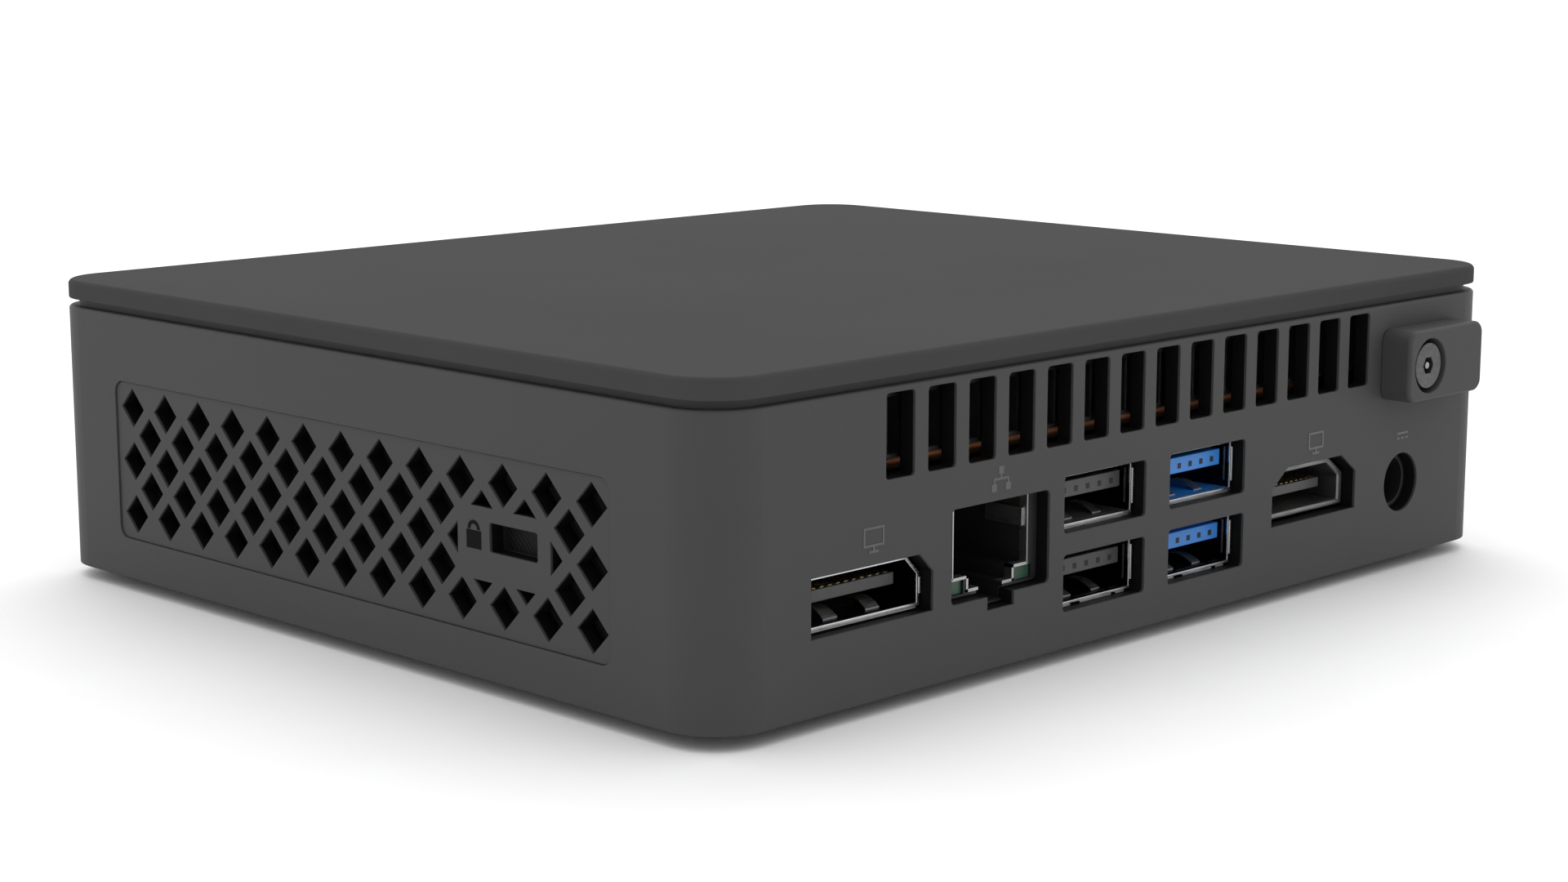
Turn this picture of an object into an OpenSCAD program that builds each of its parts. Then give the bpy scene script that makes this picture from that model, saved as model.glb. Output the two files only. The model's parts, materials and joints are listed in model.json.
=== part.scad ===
// Small desktop computer in a flat plastic case, modelled as an assembly.
// Units are millimetres. +Z is up, the sockets face +Y and the power button faces -Y.
// The case stands on z = 0 and the origin is the centre of the box around the whole object.

/* [Case] */
// Width of the case, along X
case_w = 135; // [134:0.5:138]
// Depth of the case, along Y, without the retaining block
case_d = 115; // [114.5:0.5:116]
// Height of the case, feet to lid
case_h = 36; // [35.8:0.1:37]
// Plan radius of the case's corners
corner_r = 6.4; // [5.5:0.1:7]
// Thickness of the side walls
wall = 2; // [1.9:0.05:2.1]
// Thickness of the lid
lid_t = 2.2; // [2:0.1:2.4]
// Height of the shadow gap under the lid
gap_h = 0.9; // [0.8:0.1:1]
// How far the neck in the shadow gap is set in
gap_inset = 1.2; // [1:0.1:1.4]
// Height of the lower edge of the side walls
skirt_z = 1.6; // [1.4:0.1:1.8]

/* [Side grilles] */
// Distance between two diamonds of one row
diamond_pitch = 6.708; // [6.6:0.01:6.8]
// Distance between two rows of diamonds
row_pitch = 3.15; // [3.1:0.01:3.2]
// Tip to tip size of one diamond
diamond_size = 4.6; // [4.2:0.1:4.8]
// How far the grille is set back from the wall's face
grille_recess = 0.2; // [0.1:0.05:0.3]

/* [Rear vents] */
// Number of vent slots in the rear wall
vent_count = 14; // [12:1:14]
// Distance between two vent slots
vent_pitch = 6.156; // [6.1:0.01:6.2]
// Width of one vent slot
vent_w = 4.2; // [3.8:0.1:4.4]

/* [Moving parts] */
// Travel of the power button, which the gap behind it leaves free
button_travel = 0.6; // [0.5:0.1:0.8]
// Number of fan blades
blade_count = 29; // [21:2:31]
// Radius of the fan's blade tips
fan_r = 26; // [25:0.5:26.5]

/* [Retaining block] */
// How far the retaining block stands out of the rear wall
block_depth = 4; // [3.8:0.1:4.4]

/* [Hidden] */
$fn = 64;
cut = 1;
rear_y = case_d / 2;
front_y = -case_d / 2;
side_x = case_w / 2;
seat_y = -block_depth / 2;
body_top = case_h - lid_t - gap_h;
neck_top = case_h - lid_t;
deck_t = 1.5;
deck_z = neck_top - deck_t;
edge_r = 0.35;
lid_edge_r = 0.6;
inner_x = side_x - wall;
inner_y = rear_y - wall;
through = wall + 2 * cut;
bite = 0.5;
web_t = 1.2;
deck_pocket_x = 27.5;
deck_pocket_y = 23.5;
deck_pocket_w = 48;
deck_pocket_d = 40;
deck_pocket_r = 3;
deck_pocket_depth = 0.5;
neck_root = 2;

// Printed circuit board, hung from the deck with its sockets below it
board_z = 20.9;
board_t = 1.6;
board_top = board_z + board_t;
board_w = 126;
board_d = 108;
board_screw_x = 58;
board_screw_ys = [36, -40];
board_post_r = 3;
board_post_bore = 6;
board_corner_cut = 19;
screw_r = 1.5;
screw_bore_r = 1.55;
screw_pass_r = 1.7;
screw_head_r = 2.75;
small_screw_r = 1;
small_bore_r = 1.05;
small_head_r = 2;
small_drive_r = 0.6;

// Lid pegs
lid_peg_x = 57;
lid_peg_y = 30;
lid_peg_r = 1.6;
lid_peg_len = 2.3;
lid_peg_hole_r = 1.65;

// Base cover, its screws and feet
cover_z = 0.9;
cover_t = 2;
cover_top = cover_z + cover_t;
cover_gap = 0.2;
post_x = side_x - 7.2;
post_y = rear_y - 7.2;
post_r = 3.6;
post_bore = 8;
cover_head_r = 3.2;
cover_head_depth = 1.4;
foot_x = 54;
foot_y = 40;
foot_r = 6;
foot_edge_r = 0.4;
foot_sunk = 0.6;
plate_hole_pitch = 75;
plate_hole_r = 2;
plate_boss_r = 4;
plate_boss_h = 5.6;
cover_slot_len = 24;
cover_slot_w = 2.4;
cover_slot_pitch = 4.8;
cover_slot_y = 15;

// Grille panels
grille_y = -0.25;
grille_z = 15.75;
grille_w = 86.7;
grille_h = 18.7;
grille_r = 1.5;
grille_gap = 0.05;
flange_t = 1;
flange_lap = 1.5;
flange_hold = 0.6;
row_top_z = 22.12;
row_count = 5;
long_row = 13;
lock_slot_y = 28.375;
lock_slot_z = 16.525;
lock_slot_w = 7.45;
lock_slot_h = 3.05;
lock_field_y = 26.8;
lock_field_z = 15.675;
lock_field_w = 14.5;
lock_field_h = 7.65;
lock_slot_r = 0.3;
lock_rib_count = 8;
lock_rib_pitch = 0.62;
lock_rib_w = 0.22;
lock_rib_h = 3.8;
lock_mark_y = 22.15;
print_t = 0.04;
print_line = 0.25;
screen_sign_z = 18.3;
network_sign_z = 21.5;
power_sign_z = 16.6;

// Rear openings: centre, width and height of each
vent_x0 = 41.96;
vent_z = 27.975;
vent_h = 8.65;
vent_r = 0.45;
port_face = rear_y - 1.6;
monitor_x = 45.78;
monitor_z = 12.4;
monitor_w = 17.56;
monitor_h = 6.1;
monitor_bevel = 2;
monitor_in_bevel = 1.75;
monitor_sheet = 0.4;
monitor_depth = 13;
network_x = 26.48;
network_z = 14.275;
network_w = 15.45;
network_h = 9.95;
network_notch_w = 4.2;
network_notch_z = 7.87;
network_low = 6.9;
network_floor = 11.45;
network_roof = 18.8;
usb_w = 13.95;
usb_h = 6.2;
usb_window_r = 0.5;
usb2_x = 9.38;
usb3_x = -8.83;
usb_top_z = 17.15;
usb_pitch = 8.5;
video_x = -29.75;
video_z = 12.45;
video_w = 16.9;
video_h = 6.7;
video_bevel_w = 3;
video_bevel_h = 2.2;
video_in_bevel_w = 2.5;
video_in_bevel_h = 1.8;
video_rim_w = 1;
video_rim_h = 0.75;
video_depth = 11.5;
power_x = -48.05;
power_z = 10.85;
power_r = 3.6;
power_bore_r = 2.85;
power_body_w = 10.4;
power_body_d = 14;
port_gap = 0.3;
fit_gap = 0.1;
slide_gap = 0.05;
foot_t = 1;

// Metal shells of the ports
sheet = 0.3;
usb_in_w = 12.5;
usb_in_h = 5.12;
usb_depth = 17.5;
tongue_w = 11.1;
tongue_t = 1.84;
tongue_up = 0.95;
tongue_len = 8.4;
tongue_root = 9.2;

// Retaining block and its screw
block_x = -50.95;
block_z = 25.7;
block_w = 16.1;
block_h = 8.6;
block_screw_x = -47.4;
block_screw_z = 25.6;
block_floor = 1.8;
block_r = 1.5;
block_edge_r = 0.5;
block_pass_r = 1.65;
block_head_r = 3.3;
block_bore = 8;
block_post_r = 2.6;
block_post_len = 5.5;
block_screw_head_h = 1.9;

// Front panel
front_z = 17.25;
button_x = 50;
button_r = 5.15;
ring_r = 6.1;
ring_in_r = 5.25;
cap_depth = 2.6;
stem_end = 7.5;
button_relief_w = 14;
button_relief_d = 1.5;
light_x = 38;
light_r = 0.9;
front_usb_xs = [-4, -24];
audio_x = -44;
audio_r = 3.1;
audio_bore_r = 1.8;
audio_body_w = 7;
ring_depth = 3;
ring_flange_r = 7.4;
flange_r = 6.2;
stem_r = 1.8;
switch_w = 6;
switch_d = 3.6;
plunger_r = 1.6;

// Cooling
pipe_w = 8;
pipe_t = 1.8;
pipe_z = board_top + 0.8;
pipe_top = pipe_z + pipe_t;
pipe_bend_r = 8;
cpu_x = -36;
cpu_y = 4;
fin_x0 = -41.5;
fin_x1 = 45.5;
fin_y0 = 43.5;
fin_y1 = 54.9;
fin_top = 31.7;
fin_pitch = 2;
fin_t = 0.35;
fan_x = 14;
fan_y = 8;
fan_wall = 1.2;
fan_room = 1.5;
fan_floor_z = 23.6;
fan_floor_t = 0.8;
fan_cover_z = 30;
fan_cover_t = 0.6;
fan_out_y = 42.6;
fan_ears = [[-21.3, -22.8], [24.8, -19.2]];
fan_screws = [for (p = fan_ears) [fan_x + p[0], fan_y + p[1]]];
spreader_hole_x = 13.5;
spreader_hole_y = 14.5;
spreader_screws = [for (sx = [-1, 1], sy = [-1, 1])
    [cpu_x + sx * spreader_hole_x, cpu_y + sy * spreader_hole_y]];
fin_plate_t = 0.4;
hub_r = 9;
axle_r = 1;
axle_bore_r = 1.05;

// Memory and cards
memory_x = -26;
memory_ys = [28.5, -6.5];
memory_z = 16.3;
memory_w = 67.6;
memory_d = 30;
memory_t = 1.2;
memory_bar_w = 70.6;
memory_chip_w = 10;
memory_chip_d = 12;
memory_chip_pitch = 15.5;
drive_x = 24;
drive_y = 31;
card_z = 17.4;
card_w = 22;
wireless_x = 49;
wireless_y = 8;
card_t = 0.8;
card_in = 0.4;
card_play = 0.1;
drive_len = 80;
wireless_len = 30;
card_screw_ys = [drive_y + card_in - drive_len, wireless_y + card_in - wireless_len];

// ---------- Shared shapes ----------

// Moves the case so that the origin is the centre of the whole object's box
module seated() {
    translate([0, seat_y, 0])
        children();
}

module rounded_rect(w, d, r) {
    square([w - 2 * r, d], center = true);
    square([w, d - 2 * r], center = true);
    for (sx = [-1, 1], sy = [-1, 1])
        translate([sx * (w / 2 - r), sy * (d / 2 - r)])
            circle(r);
}

module rounded_box(w, d, h, r) {
    linear_extrude(h)
        rounded_rect(w, d, r);
}

module stadium(w, t) {
    square([w - t, t], center = true);
    for (s = [-1, 1])
        translate([s * (w - t) / 2, 0])
            circle(t / 2);
}

// Outline of a plate's section, with both upper corners rounded
module plate_section(w, h, e) {
    translate([-w / 2 + e, 0])
        square([w - 2 * e, h]);
    translate([-w / 2, 0])
        square([w, h - e]);
    for (s = [-1, 1])
        translate([s * (w / 2 - e), h - e])
            circle(e);
}

// Rounded plate whose upper edge is rounded all the way round
module soft_plate(w, d, h, r, e) {
    rotate([90, 0, 0])
        linear_extrude(d - 2 * r, center = true)
            plate_section(w, h, e);
    rotate([90, 0, 90])
        linear_extrude(w - 2 * r, center = true)
            plate_section(d, h, e);
    for (sx = [-1, 1], sy = [-1, 1])
        translate([sx * (w / 2 - r), sy * (d / 2 - r), 0])
            rotate_extrude() {
                square([r - e, h]);
                square([r, h - e]);
                translate([r - e, h - e])
                    circle(e);
            }
}

// Extrudes an outline drawn in X and Z from y = 0 backwards to y = -depth
module back_from_face(depth) {
    rotate([90, 0, 0])
        linear_extrude(depth)
            children();
}

// Extrudes an outline drawn in Y and Z from x = 0 to x = depth
module across(depth) {
    rotate([90, 0, 90])
        linear_extrude(depth)
            children();
}

module at_rear(x, y, z) {
    translate([x, y, z])
        children();
}

// Turns a rear-facing piece to face the front
module at_front(x, y, z) {
    translate([x, -y, z])
        mirror([0, 1, 0])
            children();
}

// Screw along -Z: its head's top is at z = 0 and its shank hangs below the head
module screw(head_r, head_h, shank_r, shank_len, drive_r, drive_depth) {
    difference() {
        translate([0, 0, -head_h])
            cylinder(h = head_h, r = head_r);
        translate([0, 0, -drive_depth])
            cylinder(h = drive_depth + cut, r = drive_r, $fn = 6);
    }
    translate([0, 0, -head_h - shank_len])
        cylinder(h = shank_len + 0.1, r = shank_r);
}

// ---------- Port outlines, drawn in X and Z around the port's centre ----------

// Monitor port: one upper corner is cut off
module monitor_outline(w, h, bevel) {
    polygon([[-w / 2, -h / 2], [w / 2, -h / 2], [w / 2, h / 2],
        [-w / 2 + bevel, h / 2], [-w / 2, h / 2 - bevel]]);
}

// Video port: both upper corners are cut off, the wide side is down
module video_outline(w, h, bevel_w, bevel_h) {
    polygon([[-w / 2, -h / 2], [w / 2, -h / 2], [w / 2, h / 2 - bevel_h],
        [w / 2 - bevel_w, h / 2], [-w / 2 + bevel_w, h / 2], [-w / 2, h / 2 - bevel_h]]);
}

// Network jack opening with the latch notch below it
module network_outline(grow) {
    rounded_rect(network_w + 2 * grow, network_h + 2 * grow, 0.6);
    notch_top = -network_h / 2 + 1;
    notch_low = network_notch_z - network_z - grow;
    translate([-network_notch_w / 2 - grow, notch_low])
        square([network_notch_w + 2 * grow, notch_top - notch_low]);
}

// ---------- Case ----------

module vent_slots() {
    for (i = [0 : vent_count - 1])
        translate([vent_x0 - i * vent_pitch, rear_y + cut, vent_z])
            back_from_face(through)
                rounded_rect(vent_w, vent_h, vent_r);
}

module rear_openings() {
    at_rear(monitor_x, rear_y + cut, monitor_z)
        back_from_face(through)
            monitor_outline(monitor_w, monitor_h, monitor_bevel);
    at_rear(network_x, rear_y + cut, network_z)
        back_from_face(through)
            network_outline(0);
    for (x = [usb2_x, usb3_x], k = [0, 1])
        at_rear(x, rear_y + cut, usb_top_z - k * usb_pitch)
            back_from_face(through)
                rounded_rect(usb_w, usb_h, usb_window_r);
    at_rear(video_x, rear_y + cut, video_z)
        back_from_face(through)
            video_outline(video_w, video_h, video_bevel_w, video_bevel_h);
    at_rear(power_x, rear_y + cut, power_z)
        back_from_face(through)
            circle(power_r);
    at_rear(block_screw_x, rear_y + cut, block_screw_z)
        back_from_face(block_bore)
            circle(screw_bore_r);
}

module front_openings() {
    at_front(button_x, rear_y + cut, front_z)
        back_from_face(through)
            circle(ring_r + slide_gap);
    at_front(light_x, rear_y + cut, front_z)
        back_from_face(through)
            circle(light_r + slide_gap);
    for (x = front_usb_xs)
        at_front(x, rear_y + cut, front_z)
            back_from_face(through)
                rounded_rect(usb_w, usb_h, usb_window_r);
    at_front(audio_x, rear_y + cut, front_z)
        back_from_face(through)
            circle(audio_r + fit_gap);
}

// Room behind the rear wall's bars for the faces of the two-port sockets
module stack_pockets() {
    room_w = usb_in_w + 2 * sheet + 2 * fit_gap;
    room_h = usb_pitch + usb_in_h + 2 * sheet + 2 * fit_gap;
    for (x = [usb2_x, usb3_x])
        at_rear(x, port_face + fit_gap, usb_top_z - usb_pitch / 2)
            back_from_face(wall)
                square([room_w, room_h], center = true);
}

// Shallow pockets that lighten the deck under the lid
module deck_pockets() {
    for (sx = [-1, 1], sy = [-1, 1])
        translate([sx * deck_pocket_x, sy * deck_pocket_y, neck_top - deck_pocket_depth])
            rounded_box(deck_pocket_w, deck_pocket_d, deck_pocket_depth + cut, deck_pocket_r);
}

module grille_window() {
    for (s = [-1, 1])
        translate([s > 0 ? inner_x - cut : -side_x - cut, grille_y, grille_z])
            across(through)
                rounded_rect(grille_w, grille_h, grille_r);
}

// Posts that take the base cover's screws, with webs to the walls
module corner_posts() {
    web_z = cover_top + 1;
    for (sx = [-1, 1], sy = [-1, 1]) {
        translate([sx * post_x, sy * post_y, cover_top])
            cylinder(h = deck_z - cover_top + bite, r = post_r);
        translate([sx > 0 ? post_x : -inner_x - bite, sy * post_y - web_t / 2, web_z])
            cube([inner_x + bite - post_x, web_t, deck_z - web_z + bite]);
        translate([sx * post_x - web_t / 2, sy > 0 ? post_y : -inner_y - bite, web_z])
            cube([web_t, inner_y + bite - post_y, deck_z - web_z + bite]);
    }
}

module board_posts() {
    for (sx = [-1, 1], y = board_screw_ys)
        translate([sx * board_screw_x, y, board_top])
            cylinder(h = deck_z - board_top + bite, r = board_post_r);
    at_rear(block_screw_x, inner_y + bite, block_screw_z)
        back_from_face(block_post_len)
            circle(block_post_r);
}

module shell() {
    color("dimgray")
        seated()
            difference() {
                union() {
                    difference() {
                        union() {
                            translate([0, 0, skirt_z])
                                soft_plate(case_w, case_d, body_top - skirt_z, corner_r, edge_r);
                            translate([0, 0, body_top - neck_root])
                                rounded_box(case_w - 2 * gap_inset, case_d - 2 * gap_inset,
                                    gap_h + neck_root, corner_r - gap_inset);
                        }
                        translate([0, 0, skirt_z - cut])
                            rounded_box(case_w - 2 * wall, case_d - 2 * wall,
                                deck_z - skirt_z + cut, corner_r - wall);
                    }
                    corner_posts();
                    board_posts();
                }
                vent_slots();
                rear_openings();
                stack_pockets();
                front_openings();
                grille_window();
                deck_pockets();
                for (sx = [-1, 1], sy = [-1, 1])
                    translate([sx * post_x, sy * post_y, cover_top - cut])
                        cylinder(h = post_bore + cut, r = screw_bore_r);
                for (sx = [-1, 1], y = board_screw_ys)
                    translate([sx * board_screw_x, y, board_top - cut])
                        cylinder(h = board_post_bore + cut, r = screw_bore_r);
                for (sx = [-1, 1], sy = [-1, 1])
                    translate([sx * lid_peg_x, sy * lid_peg_y, deck_z - cut])
                        cylinder(h = deck_t + 2 * cut, r = lid_peg_hole_r);
            }
}

module lid() {
    color("dimgray")
        seated() {
            translate([0, 0, neck_top])
                soft_plate(case_w, case_d, lid_t, corner_r, lid_edge_r);
            for (sx = [-1, 1], sy = [-1, 1])
                translate([sx * lid_peg_x, sy * lid_peg_y, neck_top - lid_peg_len])
                    cylinder(h = lid_peg_len + bite, r = lid_peg_r);
        }
}

module cover_vents() {
    for (row = [-1, 1], i = [-6 : 6])
        translate([i * cover_slot_pitch, row * cover_slot_y, cover_z - cut])
            linear_extrude(cover_t + 2 * cut)
                rotate(90)
                    stadium(cover_slot_len, cover_slot_w);
}

module base_cover() {
    outline_w = case_w - 2 * (wall + cover_gap);
    outline_d = case_d - 2 * (wall + cover_gap);
    color("#2b2b2c")
        seated()
            difference() {
                union() {
                    translate([0, 0, cover_z])
                        rounded_box(outline_w, outline_d, cover_t, corner_r - wall - cover_gap);
                    for (sx = [-1, 1], sy = [-1, 1])
                        translate([sx, sy, 0] * plate_hole_pitch / 2 + [0, 0, cover_z])
                            cylinder(h = plate_boss_h, r = plate_boss_r);
                }
                cover_vents();
                for (sx = [-1, 1], sy = [-1, 1]) {
                    translate([sx, sy, 0] * plate_hole_pitch / 2 + [0, 0, cover_z - cut])
                        cylinder(h = plate_boss_h + 2 * cut, r = plate_hole_r);
                    translate([sx * foot_x, sy * foot_y, cover_z - cut])
                        cylinder(h = foot_sunk + cut, r = foot_r + fit_gap);
                    translate([sx * post_x, sy * post_y, cover_z - cut]) {
                        cylinder(h = cover_t + 2 * cut, r = screw_pass_r);
                        cylinder(h = cover_head_depth + cut, r = cover_head_r);
                    }
                }
            }
}

module base_screws() {
    color("silver")
        seated()
            for (sx = [-1, 1], sy = [-1, 1])
                translate([sx * post_x, sy * post_y, cover_z + 0.1])
                    mirror([0, 0, 1])
                        screw(2.9, 1.3, screw_r, 7, 1, 0.8);
}

module rubber_feet() {
    color("#1c1c1c")
        seated()
            for (sx = [-1, 1], sy = [-1, 1])
                translate([sx * foot_x, sy * foot_y, cover_z + foot_sunk])
                    mirror([0, 0, 1])
                        soft_foot();
}

module soft_foot() {
    foot_h = cover_z + foot_sunk;
    rotate_extrude() {
        square([foot_r - foot_edge_r, foot_h]);
        square([foot_r, foot_h - foot_edge_r]);
        translate([foot_r - foot_edge_r, foot_h - foot_edge_r])
            circle(foot_edge_r);
    }
}

// ---------- Side grilles ----------

module diamonds() {
    for (row = [0 : row_count - 1]) {
        n = long_row - row % 2;
        for (i = [0 : n - 1])
            translate([(i - (n - 1) / 2) * diamond_pitch, row_top_z - row * row_pitch])
                circle(diamond_size / 2, $fn = 4);
    }
}

module grille_outline() {
    rounded_rect(grille_w - 2 * grille_gap, grille_h - 2 * grille_gap, grille_r - grille_gap);
}

// Window panel with its retaining flange, drawn for the +X side
module grille_panel(with_lock) {
    difference() {
        union() {
            translate([inner_x, grille_y, grille_z])
                across(wall - grille_recess)
                    grille_outline();
            translate([inner_x - flange_t, grille_y, grille_z])
                across(flange_t)
                    difference() {
                        rounded_rect(grille_w + 2 * flange_lap, grille_h + 2 * flange_lap,
                            grille_r + flange_lap);
                        rounded_rect(grille_w - 2 * flange_hold, grille_h - 2 * flange_hold,
                            grille_r - flange_hold);
                    }
        }
        translate([inner_x - cut, 0, 0])
            across(wall + cut)
                difference() {
                    diamonds();
                    if (with_lock)
                        translate([lock_field_y, lock_field_z])
                            square([lock_field_w, lock_field_h], center = true);
                }
        if (with_lock)
            translate([inner_x - cut, lock_slot_y, lock_slot_z])
                across(wall + cut)
                    rounded_rect(lock_slot_w, lock_slot_h, lock_slot_r);
    }
}

module grille_right() {
    color("#4d4d4d")
        seated()
            grille_panel(true);
}

module grille_left() {
    color("#4d4d4d")
        seated()
            mirror([1, 0, 0])
                grille_panel(false);
}

// Steel plate with the lock slot, behind the grille's solid field
module lock_plate() {
    plate_t = 1.2;
    color("gray")
        seated()
            translate([inner_x - plate_t, 0, 0]) {
                across(plate_t)
                    difference() {
                        translate([lock_field_y, lock_field_z])
                            square([lock_field_w - 0.4, lock_field_h - 0.4], center = true);
                        translate([lock_slot_y, lock_slot_z])
                            rounded_rect(lock_slot_w - 0.2, lock_slot_h - 0.1, lock_slot_r);
                    }
                for (i = [0 : lock_rib_count - 1])
                    translate([-0.8, lock_slot_y - 1.2 + i * lock_rib_pitch, lock_slot_z - lock_rib_h / 2])
                        cube([1, lock_rib_w, lock_rib_h]);
            }
}

// Padlock sign beside the lock slot
module lock_mark() {
    color("#161616")
        seated()
            translate([side_x - grille_recess, lock_mark_y, lock_slot_z])
                across(print_t) {
                    translate([0, -0.55])
                        square([2.3, 1.9], center = true);
                    difference() {
                        translate([0, 0.5])
                            circle(0.95);
                        translate([0, 0.5])
                            circle(0.55);
                        translate([0, -0.55])
                            square([2.4, 2.1], center = true);
                    }
                }
}

// ---------- Printed signs over the rear ports ----------

module screen_sign() {
    difference() {
        square([3, 2], center = true);
        square([2.5, 1.5], center = true);
    }
    translate([0, -1.25])
        square([0.3, 0.6], center = true);
    translate([0, -1.5])
        square([1.4, print_line], center = true);
}

module network_sign() {
    for (p = [[0, 0.9], [-1.1, -0.9], [1.1, -0.9]])
        translate(p)
            square(0.8, center = true);
    square([2.45, print_line], center = true);
    for (p = [[0, 0.25], [-1.1, -0.25], [1.1, -0.25]])
        translate(p)
            square([print_line, 0.6], center = true);
}

module direct_current_sign() {
    translate([0, 0.3])
        square([2.4, print_line], center = true);
    for (i = [-1 : 1])
        translate([i * 0.9, -0.3])
            square([0.6, print_line], center = true);
}

module port_marks() {
    color("#676767")
        seated()
            translate([0, rear_y + print_t, 0]) {
                translate([monitor_x, 0, screen_sign_z])
                    back_from_face(print_t)
                        screen_sign();
                translate([video_x, 0, screen_sign_z])
                    back_from_face(print_t)
                        screen_sign();
                translate([network_x + 0.2, 0, network_sign_z])
                    back_from_face(print_t)
                        network_sign();
                translate([power_x, 0, power_sign_z])
                    back_from_face(print_t)
                        direct_current_sign();
            }
}

// ---------- Board ----------

module motherboard() {
    color("#1f4d36")
        seated()
            translate([0, 0, board_z])
                difference() {
                    translate([-board_w / 2, -board_d / 2, 0])
                        cube([board_w, board_d, board_t]);
                    for (sx = [-1, 1], sy = [-1, 1])
                        translate([sx * board_w / 2, sy * board_d / 2, board_t / 2])
                            cube([board_corner_cut, board_corner_cut, board_t + 2 * cut], center = true);
                    translate([button_x, -board_d / 2, board_t / 2])
                        cube([button_relief_w, 2 * button_relief_d, board_t + 2 * cut], center = true);
                    for (sx = [-1, 1], y = board_screw_ys)
                        translate([sx * board_screw_x, y, -cut])
                            cylinder(h = board_t + 2 * cut, r = screw_pass_r);
                    for (p = concat(spreader_screws, fan_screws))
                        translate([p[0], p[1], -cut])
                            cylinder(h = board_t + 2 * cut, r = small_bore_r);
                }
}

module board_screws() {
    color("silver")
        seated()
            for (sx = [-1, 1], y = board_screw_ys)
                translate([sx * board_screw_x, y, board_z - 1.6])
                    mirror([0, 0, 1])
                        screw(screw_head_r, 1.6, screw_r, 5.5, 1, 0.9);
}

// ---------- Rear sockets; each is drawn with its face at y = 0 ----------

module monitor_socket_shell() {
    w = monitor_w - 2 * port_gap;
    h = monitor_h - 2 * port_gap;
    color("silver")
        seated()
            at_rear(monitor_x, port_face, monitor_z)
                back_from_face(monitor_depth)
                    difference() {
                        monitor_outline(w, h, monitor_bevel);
                        monitor_outline(w - 2 * monitor_sheet, h - 2 * monitor_sheet, monitor_in_bevel);
                    }
}

module monitor_socket_insert() {
    w = monitor_w - 2 * port_gap - 2 * monitor_sheet;
    h = monitor_h - 2 * port_gap - 2 * monitor_sheet;
    back = 4.5;
    riser_z = h / 2 + monitor_sheet;
    color("#181818")
        seated()
            at_rear(monitor_x, port_face, monitor_z) {
                translate([0, back - monitor_depth, 0])
                    back_from_face(back)
                        monitor_outline(w, h, monitor_in_bevel);
                translate([0, -1.2, 0.35])
                    back_from_face(7.5)
                        square([w - 4.2, 1.3], center = true);
                translate([-w / 2, -monitor_depth, riser_z])
                    cube([w, monitor_depth - 1, board_z - monitor_z - riser_z]);
                translate([-w / 2, -monitor_depth - foot_t, -h / 2])
                    cube([w, foot_t, board_z - monitor_z + h / 2]);
            }
}

module network_cavity() {
    translate([-5.85, network_floor - network_z])
        square([11.7, network_roof - network_floor]);
    translate([-3.6, 10 - network_z])
        square([7.2, 2]);
    translate([-2.05, 8.3 - network_z])
        square([4.1, 3]);
}

module network_jack_shield() {
    w = 15.9;
    t = 0.25;
    low = network_low - network_z;
    high = board_z - network_z;
    color("silver")
        seated()
            at_rear(network_x, inner_y - 0.1, network_z)
                back_from_face(20)
                    difference() {
                        translate([-w / 2, low])
                            square([w, high - low]);
                        translate([-w / 2 + t, low + t])
                            square([w - 2 * t, high - low - 2 * t]);
                    }
}

module network_jack_housing() {
    w = 15.4;
    low = 7.15 - network_z;
    high = board_z - 0.25 - network_z;
    cavity_depth = 14;
    color("#1e1e1e")
        seated()
            at_rear(network_x, 0, network_z)
                difference() {
                    union() {
                        translate([-w / 2, inner_y - 20.1, low])
                            cube([w, 20, high - low]);
                        translate([0, port_face, 0])
                            back_from_face(port_face - inner_y + 0.5)
                                network_outline(-0.2);
                    }
                    translate([0, port_face + cut, 0])
                        back_from_face(cavity_depth + cut)
                            network_cavity();
                    for (s = [-1, 1])
                        translate([s * 5.35 - 1.3, port_face - 6, 9.75 - network_z])
                            cube([2.6, 6 + cut, 1.5]);
                }
}

module network_jack_contacts() {
    color("gold")
        seated()
            at_rear(network_x, port_face - 14, network_z)
                for (i = [0 : 7])
                    translate([(i - 3.5) * 1.02 - 0.2, 0, 17.9 - network_z])
                        cube([0.4, 9, 0.35]);
}

// Link and activity lights, one in each lower corner of the jack
module network_jack_lights() {
    color("#3c8a4a")
        seated()
            at_rear(network_x, port_face - 6, network_z)
                for (s = [-1, 1])
                    translate([s * 5.35 - 1.25, 0, 9.8 - network_z])
                        cube([2.5, 5.7, 1.4]);
}

module usb_shell(ports) {
    top = usb_in_h / 2 + sheet;
    low = -(ports - 1) * usb_pitch - top;
    w = usb_in_w + 2 * sheet;
    difference() {
        translate([-w / 2, -usb_depth, low])
            cube([w, usb_depth, top - low]);
        translate([-usb_in_w / 2, -usb_depth - cut, low + sheet])
            cube([usb_in_w, usb_depth + cut - sheet, top - low - 2 * sheet]);
        for (k = [0 : ports - 1])
            translate([-usb_in_w / 2, -cut, -k * usb_pitch - usb_in_h / 2])
                cube([usb_in_w, 2 * cut, usb_in_h]);
    }
}

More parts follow.
